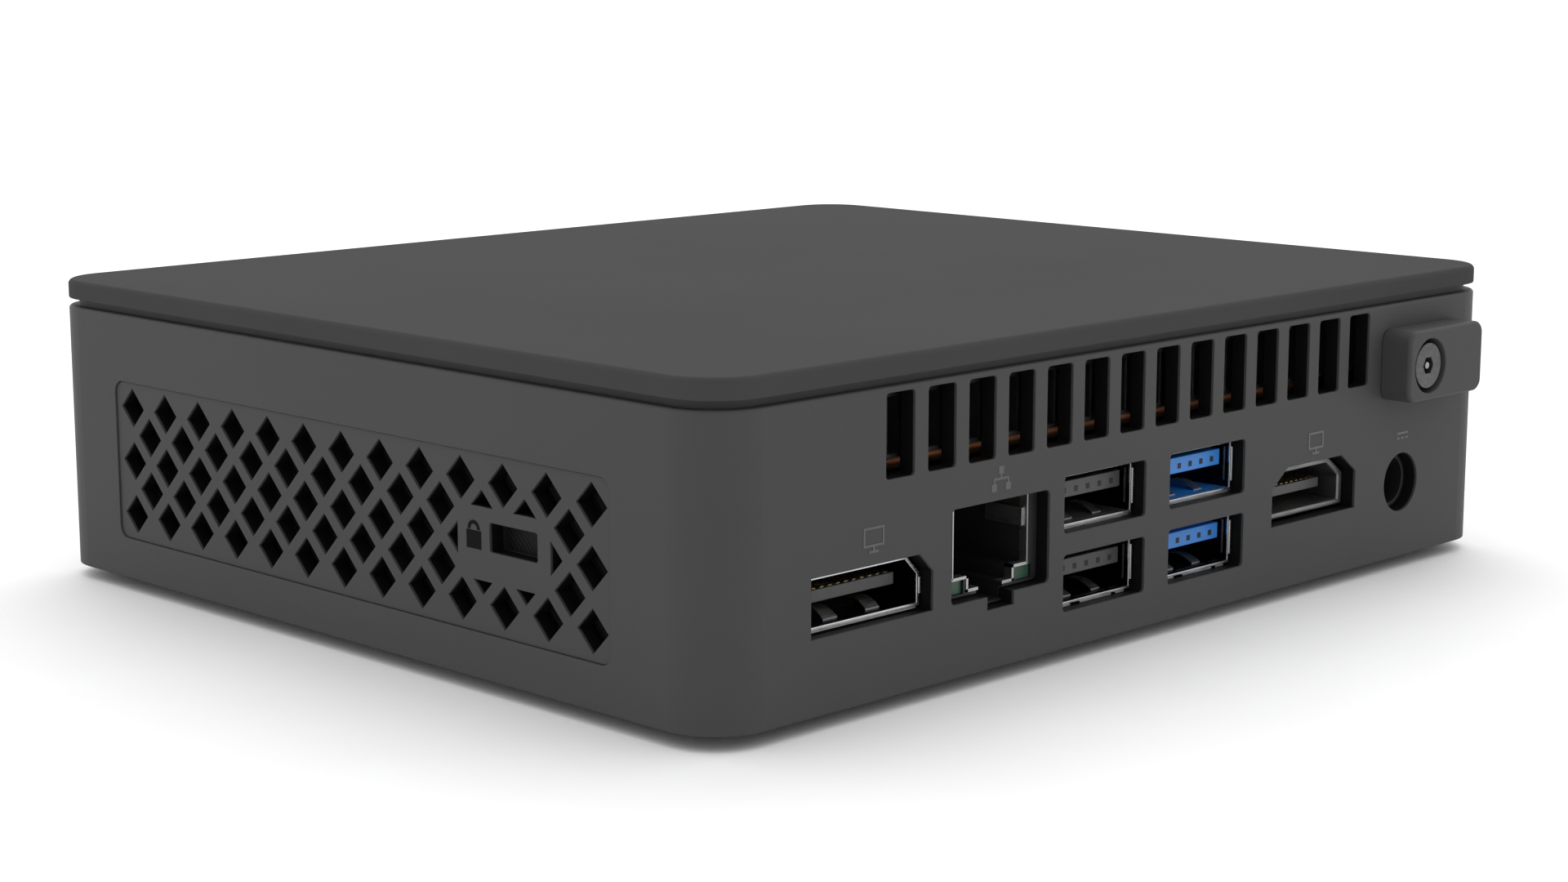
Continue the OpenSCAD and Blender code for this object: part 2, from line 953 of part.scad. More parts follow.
module usb_insert(ports) {
    low = -(ports - 1) * usb_pitch - usb_in_h / 2;
    translate([-usb_in_w / 2, -usb_depth, low])
        cube([usb_in_w, usb_depth - tongue_root, usb_in_h / 2 - low]);
    for (k = [0 : ports - 1])
        translate([-tongue_w / 2, -tongue_root - 0.1, -k * usb_pitch + tongue_up - tongue_t / 2])
            cube([tongue_w, tongue_len, tongue_t]);
    for (k = [0 : 1 : ports - 2])
        translate([-usb_in_w / 2, -tongue_root - 0.1, -(k + 1) * usb_pitch + usb_in_h / 2])
            cube([usb_in_w, 9, usb_pitch - usb_in_h]);
    riser_z = usb_in_h / 2 + sheet;
    translate([-usb_in_w / 2, -usb_depth, riser_z])
        cube([usb_in_w, usb_depth - 3, board_z - usb_top_z - riser_z]);
    translate([-usb_in_w / 2, -usb_depth - foot_t, low])
        cube([usb_in_w, foot_t, board_z - usb_top_z - low]);
}

module usb2_stack_shell() {
    color("silver")
        seated()
            at_rear(usb2_x, port_face, usb_top_z)
                usb_shell(2);
}

module usb2_stack_insert() {
    color("#1a1a1a")
        seated()
            at_rear(usb2_x, port_face, usb_top_z)
                usb_insert(2);
}

module usb3_stack_shell() {
    color("silver")
        seated()
            at_rear(usb3_x, port_face, usb_top_z)
                usb_shell(2);
}

module usb3_stack_insert() {
    color("#2b7dcd")
        seated()
            at_rear(usb3_x, port_face, usb_top_z)
                usb_insert(2);
}

module video_socket_shell() {
    w = video_w - 2 * port_gap;
    h = video_h - 2 * port_gap;
    color("gray")
        seated()
            at_rear(video_x, port_face, video_z)
                back_from_face(video_depth)
                    difference() {
                        video_outline(w, h, video_bevel_w, video_bevel_h);
                        video_outline(w - 2 * video_rim_w, h - 2 * video_rim_h,
                            video_in_bevel_w, video_in_bevel_h);
                    }
}

module video_socket_insert() {
    w = video_w - 2 * port_gap - 2 * video_rim_w;
    h = video_h - 2 * port_gap - 2 * video_rim_h;
    back = 3.5;
    riser_w = 10;
    riser_z = h / 2 + video_rim_h;
    color("#181818")
        seated()
            at_rear(video_x, port_face, video_z) {
                translate([0, back - video_depth, 0])
                    back_from_face(back)
                        video_outline(w, h, video_in_bevel_w, video_in_bevel_h);
                translate([0, -1.5, -0.2])
                    back_from_face(6.6)
                        square([w - 3.6, 1.2], center = true);
                translate([-riser_w / 2, -video_depth, riser_z])
                    cube([riser_w, 10, board_z - video_z - riser_z]);
                translate([-w / 2, -video_depth - foot_t, -h / 2])
                    cube([w, foot_t, board_z - video_z + h / 2]);
            }
}

module power_jack_housing() {
    color("#141414")
        seated()
            at_rear(power_x, inner_y - 0.1, power_z)
                difference() {
                    union() {
                        translate([-power_body_w / 2, -power_body_d, -power_body_w / 2])
                            cube([power_body_w, power_body_d, board_z - power_z + power_body_w / 2]);
                        translate([0, bite, 0])
                            back_from_face(2 * bite)
                                circle(power_r - 2 * fit_gap);
                    }
                    translate([0, bite + cut, 0])
                        back_from_face(11 + cut)
                            circle(power_bore_r);
                }
}

// Centre pin and the leaf that presses on the plug's sleeve
module power_jack_contacts() {
    color("silver")
        seated()
            at_rear(power_x, inner_y - 0.1, power_z) {
                translate([0, -1, 0])
                    back_from_face(9.5)
                        circle(0.85);
                translate([-0.9, -10.5, -2.6])
                    cube([1.8, 9.7, 0.3]);
            }
}

// ---------- Retaining block over the power jack ----------

module retaining_block() {
    color("#454545")
        seated()
            difference() {
                translate([block_x, rear_y, block_z])
                    rotate([-90, 0, 0])
                        soft_plate(block_w, block_h, block_depth, block_r, block_edge_r);
                at_rear(block_screw_x, rear_y + block_depth + cut, block_screw_z)
                    back_from_face(block_depth + 2 * cut)
                        circle(block_pass_r);
                at_rear(block_screw_x, rear_y + block_depth + cut, block_screw_z)
                    back_from_face(block_depth - block_floor + cut)
                        circle(block_head_r);
            }
}

module retaining_screw() {
    color("#5a5a5a")
        seated()
            translate([block_screw_x, rear_y + block_floor + block_screw_head_h, block_screw_z])
                rotate([-90, 0, 0])
                    screw(screw_head_r, block_screw_head_h, screw_r, 6.5, 1.1, 1.2);
}

// ---------- Front panel ----------

module front_usb_shells() {
    color("silver")
        seated()
            for (x = front_usb_xs)
                at_front(x, port_face, front_z)
                    usb_shell(1);
}

module front_usb_inserts() {
    color("#2b7dcd")
        seated()
            for (x = front_usb_xs)
                at_front(x, port_face, front_z)
                    front_usb_insert();
}

module front_usb_insert() {
    low = -usb_in_h / 2;
    riser_z = usb_in_h / 2 + sheet;
    translate([-usb_in_w / 2, -usb_depth, low])
        cube([usb_in_w, usb_depth - tongue_root, usb_in_h]);
    translate([-tongue_w / 2, -tongue_root - 0.1, tongue_up - tongue_t / 2])
        cube([tongue_w, tongue_len, tongue_t]);
    translate([-usb_in_w / 2, -usb_depth - foot_t, low])
        cube([usb_in_w, foot_t, board_z - front_z - low]);
    translate([-usb_in_w / 2, -usb_depth, riser_z])
        cube([usb_in_w, usb_depth - 3, board_z - front_z - riser_z]);
}

module audio_jack() {
    color("#202020")
        seated()
            at_front(audio_x, rear_y - 0.2, front_z)
                difference() {
                    union() {
                        back_from_face(2.5)
                            circle(audio_r);
                        translate([-audio_body_w / 2, -14, -3.2])
                            cube([audio_body_w, 12, board_z - front_z + 3.2]);
                    }
                    translate([0, cut, 0])
                        back_from_face(12 + cut)
                            circle(audio_bore_r);
                }
}

module status_light() {
    color("white")
        seated()
            at_front(light_x, rear_y, front_z) {
                back_from_face(3.5)
                    circle(light_r);
                translate([0, -2.1, 0])
                    back_from_face(1.4)
                        circle(1.6);
                translate([-0.7, -5, -0.7])
                    cube([1.4, 2, board_z - front_z + 0.7]);
            }
}

module button_light_ring() {
    color("white")
        seated()
            at_front(button_x, rear_y, front_z)
                difference() {
                    union() {
                        back_from_face(ring_depth)
                            circle(ring_r);
                        translate([0, -wall, 0])
                            back_from_face(1)
                                circle(ring_flange_r);
                    }
                    translate([0, cut, 0])
                        back_from_face(ring_depth + 2 * cut)
                            circle(ring_in_r);
                }
}

// Cap, stem and the flange that keeps the cap in the ring
module power_button() {
    color("#3a3a3a")
        seated()
            at_front(button_x, rear_y, front_z) {
                rotate([90, 0, 0])
                    mirror([0, 0, 1])
                        translate([0, 0, -cap_depth])
                            button_cap();
                translate([0, -cap_depth + 0.1, 0])
                    back_from_face(stem_end - cap_depth + 0.1)
                        circle(stem_r);
                translate([0, -3.1, 0])
                    back_from_face(0.8)
                        circle(flange_r);
            }
}

module button_cap() {
    cap_edge = 0.5;
    rotate_extrude() {
        square([button_r - cap_edge, cap_depth]);
        square([button_r, cap_depth - cap_edge]);
        translate([button_r - cap_edge, cap_depth - cap_edge])
            circle(cap_edge);
    }
}

// Sprung peg of the tact switch, which the button's stem pushes
module switch_plunger() {
    color("#c8c8c8")
        seated()
            at_front(button_x, rear_y - stem_end, front_z)
                back_from_face(2.2)
                    circle(plunger_r);
}

module button_switch() {
    switch_face = rear_y - stem_end - button_travel - 0.3;
    color("#222222")
        seated()
            at_front(button_x, switch_face, front_z)
                difference() {
                    union() {
                        translate([-switch_w / 2, -switch_d, -switch_w / 2])
                            cube([switch_w, switch_d, switch_w]);
                        translate([-switch_w / 2, -switch_d - foot_t, -switch_w / 2])
                            cube([switch_w, foot_t, board_z - front_z + switch_w / 2]);
                    }
                    translate([0, cut, 0])
                        back_from_face(3.2 + cut)
                            circle(plunger_r + fit_gap);
                }
}

// ---------- Cooling ----------

module processor() {
    color("#2e5b3a")
        seated() {
            translate([cpu_x - 14, cpu_y - 12, board_top])
                cube([28, 24, 0.5]);
            translate([cpu_x - 6, cpu_y - 4, board_top])
                cube([12, 8, pipe_z - board_top]);
        }
}

module heat_spreader() {
    w = 34;
    d = 36;
    h = 3;
    channel = 0.02;
    color("#b87333")
        seated()
            translate([cpu_x, cpu_y, pipe_z])
                difference() {
                    translate([-w / 2, -d / 2, 0])
                        cube([w, d, h]);
                    translate([-pipe_w / 2 - channel, -d / 2 - cut, -cut])
                        cube([pipe_w + 2 * channel, d + 2 * cut, cut + pipe_t + channel]);
                    for (sx = [-1, 1], sy = [-1, 1])
                        translate([sx * spreader_hole_x, sy * spreader_hole_y, -cut])
                            cylinder(h = h + 2 * cut, r = 1.2);
                }
}

// Flattened pipe: along the processor, round one bend and under all the fins
module heat_pipe() {
    run_y = (fin_y0 + fin_y1) / 2;
    bend_y = run_y - pipe_bend_r;
    start_y = cpu_y - 17;
    color("#b4652d")
        seated()
            translate([0, 0, pipe_z + pipe_t / 2]) {
                translate([cpu_x, bend_y, 0])
                    back_from_face(bend_y - start_y)
                        stadium(pipe_w, pipe_t);
                translate([cpu_x + pipe_bend_r, bend_y, 0])
                    rotate(90)
                        rotate_extrude(angle = 90)
                            translate([pipe_bend_r, 0])
                                stadium(pipe_w, pipe_t);
                translate([cpu_x + pipe_bend_r, run_y, 0])
                    across(fin_x1 - cpu_x - pipe_bend_r)
                        stadium(pipe_w, pipe_t);
            }
}

module fin_stack() {
    fin_count = floor((fin_x1 - fin_x0) / fin_pitch);
    depth = fin_y1 - fin_y0;
    color("#8f8f8f")
        seated()
            translate([fin_x0, fin_y0, pipe_top]) {
                cube([fin_x1 - fin_x0, depth, fin_plate_t]);
                translate([0, 0, fin_top - pipe_top - fin_plate_t])
                    cube([fin_x1 - fin_x0, depth, fin_plate_t]);
                for (i = [0 : fin_count])
                    translate([i * (fin_x1 - fin_x0 - fin_t) / fin_count, 0, 0])
                        cube([fin_t, depth, fin_top - pipe_top]);
            }
}

// Plan of the blower: a round chamber that opens towards the fins
module fan_plan(shrink) {
    r = fan_r + fan_room + fan_wall - shrink;
    circle(r);
    translate([-r, 0])
        square([2 * r, fan_out_y - fan_y]);
}

module fan_housing() {
    ear_r = 3.5;
    wall_h = fan_cover_z - fan_floor_z;
    color("#1b1b1b")
        seated()
            translate([fan_x, fan_y, fan_floor_z])
                difference() {
                    union() {
                        linear_extrude(wall_h)
                            difference() {
                                fan_plan(0);
                                fan_plan(fan_wall);
                            }
                        linear_extrude(fan_floor_t)
                            fan_plan(0);
                        for (p = fan_ears)
                            translate([p[0], p[1], 0])
                                cylinder(h = 2, r = ear_r);
                        for (p = fan_ears)
                            translate([p[0], p[1], board_top - fan_floor_z])
                                cylinder(h = fan_floor_z - board_top + 0.1, r = 2.2);
                        cylinder(h = 5.2, r = axle_r);
                    }
                    translate([-fan_r - fan_room, fan_out_y - fan_y - fan_wall - 0.1, fan_floor_t])
                        cube([2 * (fan_r + fan_room), 3, wall_h]);
                    for (p = fan_ears)
                        translate([p[0], p[1], board_top - fan_floor_z - cut])
                            cylinder(h = 6, r = 1.1);
                }
}

module fan_cover() {
    color("#242424")
        seated()
            translate([fan_x, fan_y, fan_cover_z])
                linear_extrude(fan_cover_t)
                    difference() {
                        fan_plan(0);
                        circle(19);
                    }
}

module fan_impeller() {
    blade_z = fan_floor_z + fan_floor_t + 0.5;
    blade_h = 4.6;
    color("#101010")
        seated()
            translate([fan_x, fan_y, blade_z])
                difference() {
                    union() {
                        cylinder(h = blade_h, r = hub_r);
                        cylinder(h = 0.6, r = fan_r - 3);
                        for (i = [0 : blade_count - 1])
                            rotate(i * 360 / blade_count)
                                translate([12, 0, 0])
                                    rotate(28)
                                        translate([0, -0.3, 0])
                                            cube([fan_r - 11.8, 0.6, blade_h]);
                    }
                    translate([0, 0, -cut])
                        cylinder(h = blade_h - 0.6 + cut, r = axle_bore_r);
                }
}

module cooling_screws() {
    color("silver")
        seated() {
            for (p = spreader_screws)
                translate([p[0], p[1], pipe_z + 4.2])
                    screw(small_head_r, 1.2, small_screw_r, 4.6, small_drive_r, 0.6);
            for (p = fan_screws)
                translate([p[0], p[1], fan_floor_z + 3.1])
                    screw(small_head_r, 1.1, small_screw_r, 4.2, small_drive_r, 0.6);
        }
}

// ---------- Memory, drive and wireless card, under the board ----------

module memory_sockets() {
    low = memory_z - 0.9;
    color("#232323")
        seated()
            for (y = memory_ys)
                translate([memory_x, y, 0])
                    difference() {
                        union() {
                            translate([-memory_bar_w / 2, -2.5, low])
                                cube([memory_bar_w, 5, board_z - low]);
                            for (s = [-1, 1])
                                translate([s * (memory_bar_w / 2 + 0.3) - 1, -27, low])
                                    cube([2, 29.5, board_z - low - 1.5]);
                        }
                        translate([-memory_w / 2 - 0.1, -4, memory_z - 0.05])
                            cube([memory_w + 0.2, 4.5, 1.3]);
                    }
}

module memory_modules() {
    color("#1d4a33")
        seated()
            for (y = memory_ys)
                translate([memory_x - memory_w / 2, y + card_in - memory_d, memory_z])
                    cube([memory_w, memory_d, memory_t]);
}

module memory_chips() {
    color("#151515")
        seated()
            for (y = memory_ys, i = [0 : 3])
                translate([memory_x - 28.5 + i * memory_chip_pitch, y - 21, memory_z - 1])
                    cube([memory_chip_w, memory_chip_d, 1]);
}

module card_slot(x, y) {
    difference() {
        translate([x - 11.5, y - 2, card_z - 0.8])
            cube([23, 4.4, board_z - card_z + 0.8]);
        translate([x - card_w / 2 - card_play, y - 3, card_z - card_play / 2])
            cube([card_w + 2 * card_play, 3.5, card_t + card_play]);
    }
}

module card_board(x, y, len) {
    difference() {
        translate([x - card_w / 2, y + card_in - len, card_z])
            cube([card_w, len, card_t]);
        translate([x, y + card_in - len, card_z - cut])
            cylinder(h = card_t + 2 * cut, r = 1.75);
    }
}

module drive_socket() {
    color("#232323")
        seated()
            card_slot(drive_x, drive_y);
}

module solid_state_drive() {
    color("#1d3550")
        seated() {
            card_board(drive_x, drive_y, drive_len);
            for (i = [0 : 2])
                translate([drive_x - 8, drive_y - 24 - i * 20, card_z - 1.2])
                    cube([16, 15, 1.2]);
        }
}

module wireless_socket() {
    color("#232323")
        seated()
            card_slot(wireless_x, wireless_y);
}

module wireless_card() {
    color("#1d4a33")
        seated() {
            card_board(wireless_x, wireless_y, wireless_len);
            translate([wireless_x - 8.5, wireless_y - 22, card_z - 1.5])
                cube([17, 15, 1.5]);
        }
}

module card_standoffs() {
    color("#b8a060")
        seated()
            for (k = [0, 1])
                translate([k == 0 ? drive_x : wireless_x, card_screw_ys[k], card_z + card_t])
                    difference() {
                        cylinder(h = board_z - card_z - card_t, r = 2.6);
                        translate([0, 0, -cut])
                            cylinder(h = 2.2 + cut, r = 1.05);
                    }
}

module card_screws() {
    color("silver")
        seated()
            for (k = [0, 1])
                translate([k == 0 ? drive_x : wireless_x, card_screw_ys[k], card_z - 0.9])
                    mirror([0, 0, 1])
                        screw(2.7, 0.9, 1, 2.6, 0.6, 0.5);
}

module antennas() {
    color("#8a6f2f")
        seated()
            for (s = [-1, 1])
                translate([s * 44 - 14, -inner_y, 25])
                    cube([28, 0.6, 6]);
}

module coin_cell_holder() {
    color("#1e1e1e")
        seated()
            translate([wireless_x, 24, board_z - 5.2])
                difference() {
                    cylinder(h = 5.2, r = 11.4);
                    translate([0, 0, -cut])
                        cylinder(h = 4 + cut, r = 10.1);
                    translate([-3, -13, -cut])
                        cube([6, 5, 3 + cut]);
                }
}

module coin_cell() {
    color("silver")
        seated()
            translate([wireless_x, 24, board_z - 4.5])
                cylinder(h = 3.2, r = 10);
}

module board_coils() {
    color("#4a4a4a")
        seated()
            for (i = [0 : 3])
                translate([-58 + i * 9, -34, board_top])
                    cube([7, 7, 4]);
}

module board_chips() {
    color("#161616")
        seated() {
            translate([38, -38, board_top])
                cube([14, 14, 1.2]);
            translate([10, -44, board_top])
                cube([9, 9, 1]);
            translate([-20, -46, board_top])
                cube([12, 6, 1.2]);
            translate([40, 36.5, board_z - 1.4])
                cube([10, 4, 1.4]);
            translate([54.5, -14, board_top])
                cube([6, 10, 1]);
        }
}

shell();
lid();
base_cover();
base_screws();
rubber_feet();
grille_right();
grille_left();
lock_plate();
lock_mark();
port_marks();
motherboard();
board_screws();
monitor_socket_shell();
monitor_socket_insert();
network_jack_shield();
network_jack_housing();
network_jack_contacts();
network_jack_lights();
usb2_stack_shell();
usb2_stack_insert();
usb3_stack_shell();
usb3_stack_insert();
video_socket_shell();
video_socket_insert();
power_jack_housing();
power_jack_contacts();
retaining_block();
retaining_screw();
front_usb_shells();
front_usb_inserts();
audio_jack();
status_light();
button_light_ring();
power_button();
switch_plunger();
button_switch();
processor();
heat_spreader();
heat_pipe();
fin_stack();
fan_housing();
fan_cover();
fan_impeller();
cooling_screws();
memory_sockets();
memory_modules();
memory_chips();
drive_socket();
solid_state_drive();
wireless_socket();
wireless_card();
card_standoffs();
card_screws();
antennas();
coin_cell_holder();
coin_cell();
board_coils();
board_chips();
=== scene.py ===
"""Looks of a small desktop computer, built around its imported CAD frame. Metres, the frame's own axes."""
import json
import math

import bmesh
import bpy
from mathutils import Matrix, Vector


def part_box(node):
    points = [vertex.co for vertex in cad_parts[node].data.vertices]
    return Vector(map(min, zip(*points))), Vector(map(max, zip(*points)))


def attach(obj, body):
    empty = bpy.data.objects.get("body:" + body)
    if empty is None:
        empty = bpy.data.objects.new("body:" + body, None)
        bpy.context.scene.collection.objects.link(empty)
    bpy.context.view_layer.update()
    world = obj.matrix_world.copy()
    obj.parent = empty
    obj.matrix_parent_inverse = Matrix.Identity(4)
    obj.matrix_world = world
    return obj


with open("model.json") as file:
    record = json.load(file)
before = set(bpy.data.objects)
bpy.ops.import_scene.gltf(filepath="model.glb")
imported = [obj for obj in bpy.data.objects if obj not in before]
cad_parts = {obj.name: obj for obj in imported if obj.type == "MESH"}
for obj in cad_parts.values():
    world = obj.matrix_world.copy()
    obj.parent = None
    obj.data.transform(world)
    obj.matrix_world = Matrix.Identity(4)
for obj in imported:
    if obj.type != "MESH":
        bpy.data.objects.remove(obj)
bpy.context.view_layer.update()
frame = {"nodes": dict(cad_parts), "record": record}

MM = 0.001
NODES = frame["nodes"]
SLOT_OF = {row["node"]: row["material_slot"] for row in frame["record"]["subparts"]}
PIECES = bpy.context.scene.collection


# ---------- Places read from the frame ----------

def span(node):
    """Lowest corner, highest corner and centre of a CAD node."""
    low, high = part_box(node)
    return low, high, (low + high) / 2


SHELL_LOW, SHELL_HIGH, SHELL_MID = span("shell")
REAR_Y = SHELL_HIGH.y
FRONT_Y = SHELL_LOW.y
SIDE_X = SHELL_HIGH.x
CORNER_R = 6.4 * MM
DECK_T = 1.5 * MM
GRILLE_X = span("grille_right")[1].x
PORT_FACE_Y = span("usb2_stack_shell")[1].y


# ---------- Materials ----------

class Shader:
    """A node material: one Principled shader and the textures that feed it."""

    def __init__(self, name, **constants):
        self.material = bpy.data.materials.new(name)
        self.material.use_nodes = True
        self.tree = self.material.node_tree
        self.shader = self.tree.nodes["Principled BSDF"]
        for socket, value in constants.items():
            self.shader.inputs[socket.replace("_", " ")].default_value = value
        coords = self.tree.nodes.new("ShaderNodeTexCoord")
        self.place = coords.outputs["Object"]

    def node(self, kind, **settings):
        made = self.tree.nodes.new(kind)
        for key, value in settings.items():
            setattr(made, key, value)
        return made

    def link(self, source, target):
        self.tree.links.new(source, target)

    def stretched(self, scale):
        """The object's own coordinates, scaled differently along each axis."""
        mapping = self.node("ShaderNodeMapping")
        mapping.inputs["Scale"].default_value = scale
        self.link(self.place, mapping.inputs["Vector"])
        return mapping.outputs["Vector"]

    def noise(self, scale, detail=3.0, place=None):
        made = self.node("ShaderNodeTexNoise")
        made.inputs["Scale"].default_value = scale
        made.inputs["Detail"].default_value = detail
        self.link(place or self.place, made.inputs["Vector"])
        return made.outputs["Fac"]

    def ramp(self, fac, stops):
        """Colour ramp with (position, colour) stops."""
        made = self.node("ShaderNodeValToRGB")
        elements = made.color_ramp.elements
        while len(elements) < len(stops):
            elements.new(0.5)
        for element, (position, colour) in zip(elements, stops):
            element.position = position
            element.color = (*colour, 1.0)
        self.link(fac, made.inputs["Fac"])
        return made.outputs["Color"]

    def remap(self, fac, low, high):
        made = self.node("ShaderNodeMapRange")
        made.inputs["From Min"].default_value = 0.3
        made.inputs["From Max"].default_value = 0.7
        made.inputs["To Min"].default_value = low
        made.inputs["To Max"].default_value = high
        self.link(fac, made.inputs["Value"])
        return made.outputs["Result"]

    def maths(self, operation, a, b=None):
        made = self.node("ShaderNodeMath", operation=operation)
        for socket, value in zip(made.inputs, (a, b)):
            if value is None:
                continue
            if isinstance(value, (int, float)):
                socket.default_value = value
            else:
                self.link(value, socket)
        return made.outputs["Value"]

    def mix(self, fac, a, b):
        """Colour a where fac is 0, colour b where it is 1."""
        made = self.node("ShaderNodeMix", data_type="RGBA")
        self.link(fac, made.inputs["Factor"])
        for socket, value in (("A", a), ("B", b)):
            target = [i for i in made.inputs if i.name == socket and i.type == "RGBA"][0]
            if isinstance(value, tuple):
                target.default_value = (*value, 1.0)
            else:
                self.link(value, target)
        return [o for o in made.outputs if o.type == "RGBA"][0]

    def axes(self):
        """The object's own X, Y and Z, for masks drawn by position."""
        made = self.node("ShaderNodeSeparateXYZ")
        self.link(self.place, made.inputs["Vector"])
        return made.outputs

    def length(self, a, b):
        squares = [self.maths("MULTIPLY", value, value) for value in (a, b)]
        return self.maths("SQRT", self.maths("ADD", *squares))

    def bump(self, height, strength, distance, edge=0.0):
        """Relief, with the object's sharp edges shaded round if an edge radius is given."""
        made = self.node("ShaderNodeBump")
        made.inputs["Strength"].default_value = strength
        made.inputs["Distance"].default_value = distance
        self.link(height, made.inputs["Height"])
        if edge:
            rounded = self.node("ShaderNodeBevel", samples=4)
            rounded.inputs["Radius"].default_value = edge
            self.link(rounded.outputs["Normal"], made.inputs["Normal"])
        self.link(made.outputs["Normal"], self.shader.inputs["Normal"])

    def feed(self, socket, source):
        self.link(source, self.shader.inputs[socket])


def shade(colour, factor):
    return tuple(c * factor for c in colour)


def moulded(name, colour, rough, spread=0.06, grain=6500.0, relief=0.25, specular=0.5):
    """Moulded plastic: faint mottling, an etched grain and uneven gloss."""
    made = Shader(name, Specular_IOR_Level=specular)
    cloud = made.noise(45.0, 4.0)
    fine = made.noise(grain, 2.0)
    made.feed("Base Color", made.ramp(cloud, [(0.3, shade(colour, 1 - spread)),
                                              (0.7, shade(colour, 1 + spread))]))
    made.feed("Roughness", made.remap(fine, rough - 0.05, rough + 0.05))
    made.bump(fine, relief, 0.02 * MM)
    return made


def metal(name, colour, rough, stretch=(400.0, 6000.0, 6000.0), spread=0.12, relief=0.15):
    """Rolled or drawn metal: fine lines along one axis and uneven gloss."""
    made = Shader(name, Metallic=1.0)
    lines = made.noise(1.0, 3.0, made.stretched(stretch))
    cloud = made.noise(180.0, 3.0)
    made.feed("Base Color", made.ramp(cloud, [(0.3, shade(colour, 1 - spread)),
                                              (0.7, shade(colour, 1 + spread))]))
    made.feed("Roughness", made.remap(lines, rough * 0.75, rough * 1.3))
    made.bump(lines, relief, 0.01 * MM)
    return made


CASE_GREY = (0.058, 0.058, 0.0584)
# Painted shade: the lid's grey is a little darker than the case's to offset the light its top catches.
LID_SHADED_GREY = (0.055, 0.055, 0.0554)
CASE_SPECULAR = 0.12
LID_SPECULAR = 0.01
CASE_ROUGH = 0.55
LID_ROUGH = 0.75
CASE_EDGE = 0.15 * MM
# Painted shade: near-black painted on the case's inside and on the walls of its openings and grille holes.
PAINTED_SHADE_BLACK = (0.005, 0.005, 0.005)
# Painted shade: the dark colour painted on socket steel past its mouth.
SOCKET_PAINTED_SHADE = (0.03, 0.03, 0.031)
CUT_RIM = 0.3 * MM
MOUTH_DEPTH = 0.2 * MM


def case_surface(name, grey=CASE_GREY, specular=CASE_SPECULAR, rough=CASE_ROUGH):
    """The case's matte charcoal plastic, with its colour left for the caller to connect."""
    made = Shader(name, Specular_IOR_Level=specular)
    cloud = made.noise(30.0, 4.0)
    fine = made.noise(7000.0, 2.0)
    made.feed("Roughness", made.remap(fine, rough - 0.05, rough + 0.05))
    made.bump(fine, 0.2, 0.02 * MM, CASE_EDGE)
    face = made.ramp(cloud, [(0.3, shade(grey, 0.97)), (0.7, shade(grey, 1.03))])
    return made, face


def case_plastic():
    """The outside is charcoal; the inside and the cut edges of the openings are painted near-black, as
    painted shade for the shade that falls inside the case and in its openings.
    """
    made, face = case_surface("case_plastic")
    axes = made.axes()
    from_mid = made.maths("SUBTRACT", axes["Y"], SHELL_MID.y)
    past = []
    for value, half in ((axes["X"], SIDE_X), (from_mid, REAR_Y - SHELL_MID.y)):
        beyond = made.maths("SUBTRACT", made.maths("ABSOLUTE", value), half - CORNER_R)
        past.append(made.maths("MAXIMUM", beyond, 0.0))
    depth = made.maths("SUBTRACT", CORNER_R - CUT_RIM, made.length(*past))
    under_deck = made.maths("SUBTRACT", SHELL_HIGH.z - DECK_T + CUT_RIM, axes["Z"])
    inside = made.maths("GREATER_THAN", made.maths("MINIMUM", depth, under_deck), 0.0)
    made.feed("Base Color", made.mix(inside, face, PAINTED_SHADE_BLACK))
    return made.material


def lid_plastic():
    """The case's plastic for a part with no inside, its grey painted a little darker than the case's as
    painted shade against the extra light on the lid's top.
    """
    made, face = case_surface("lid_plastic", LID_SHADED_GREY, LID_SPECULAR, LID_ROUGH)
    made.feed("Base Color", face)
    return made.material


def grille_plastic():
    """Case plastic whose holes are painted dark below the face, as painted shade inside the holes."""
    made, face = case_surface("grille_plastic")
    axes = made.axes()
    below = made.maths("SUBTRACT", GRILLE_X - CUT_RIM, made.maths("ABSOLUTE", axes["X"]))
    made.feed("Base Color", made.mix(made.maths("GREATER_THAN", below, 0.0), face, PAINTED_SHADE_BLACK))
    return made.material


def port_steel(name, colour, rough):
    """Tinned sheet that is bright at the mouth of a socket and painted dull and dark deeper inside it, as
    painted shade and a painted dark reflection within the socket.
    """
    made = metal(name, colour, rough)
    axes = made.axes()
    from_mid = made.maths("ABSOLUTE", made.maths("SUBTRACT", axes["Y"], SHELL_MID.y))
    below = made.maths("SUBTRACT", PORT_FACE_Y - SHELL_MID.y - MOUTH_DEPTH, from_mid)
    inside = made.maths("GREATER_THAN", below, 0.0)
    bright = made.shader.inputs["Base Color"].links[0].from_socket
    made.feed("Base Color", made.mix(inside, bright, SOCKET_PAINTED_SHADE))
    return made.material


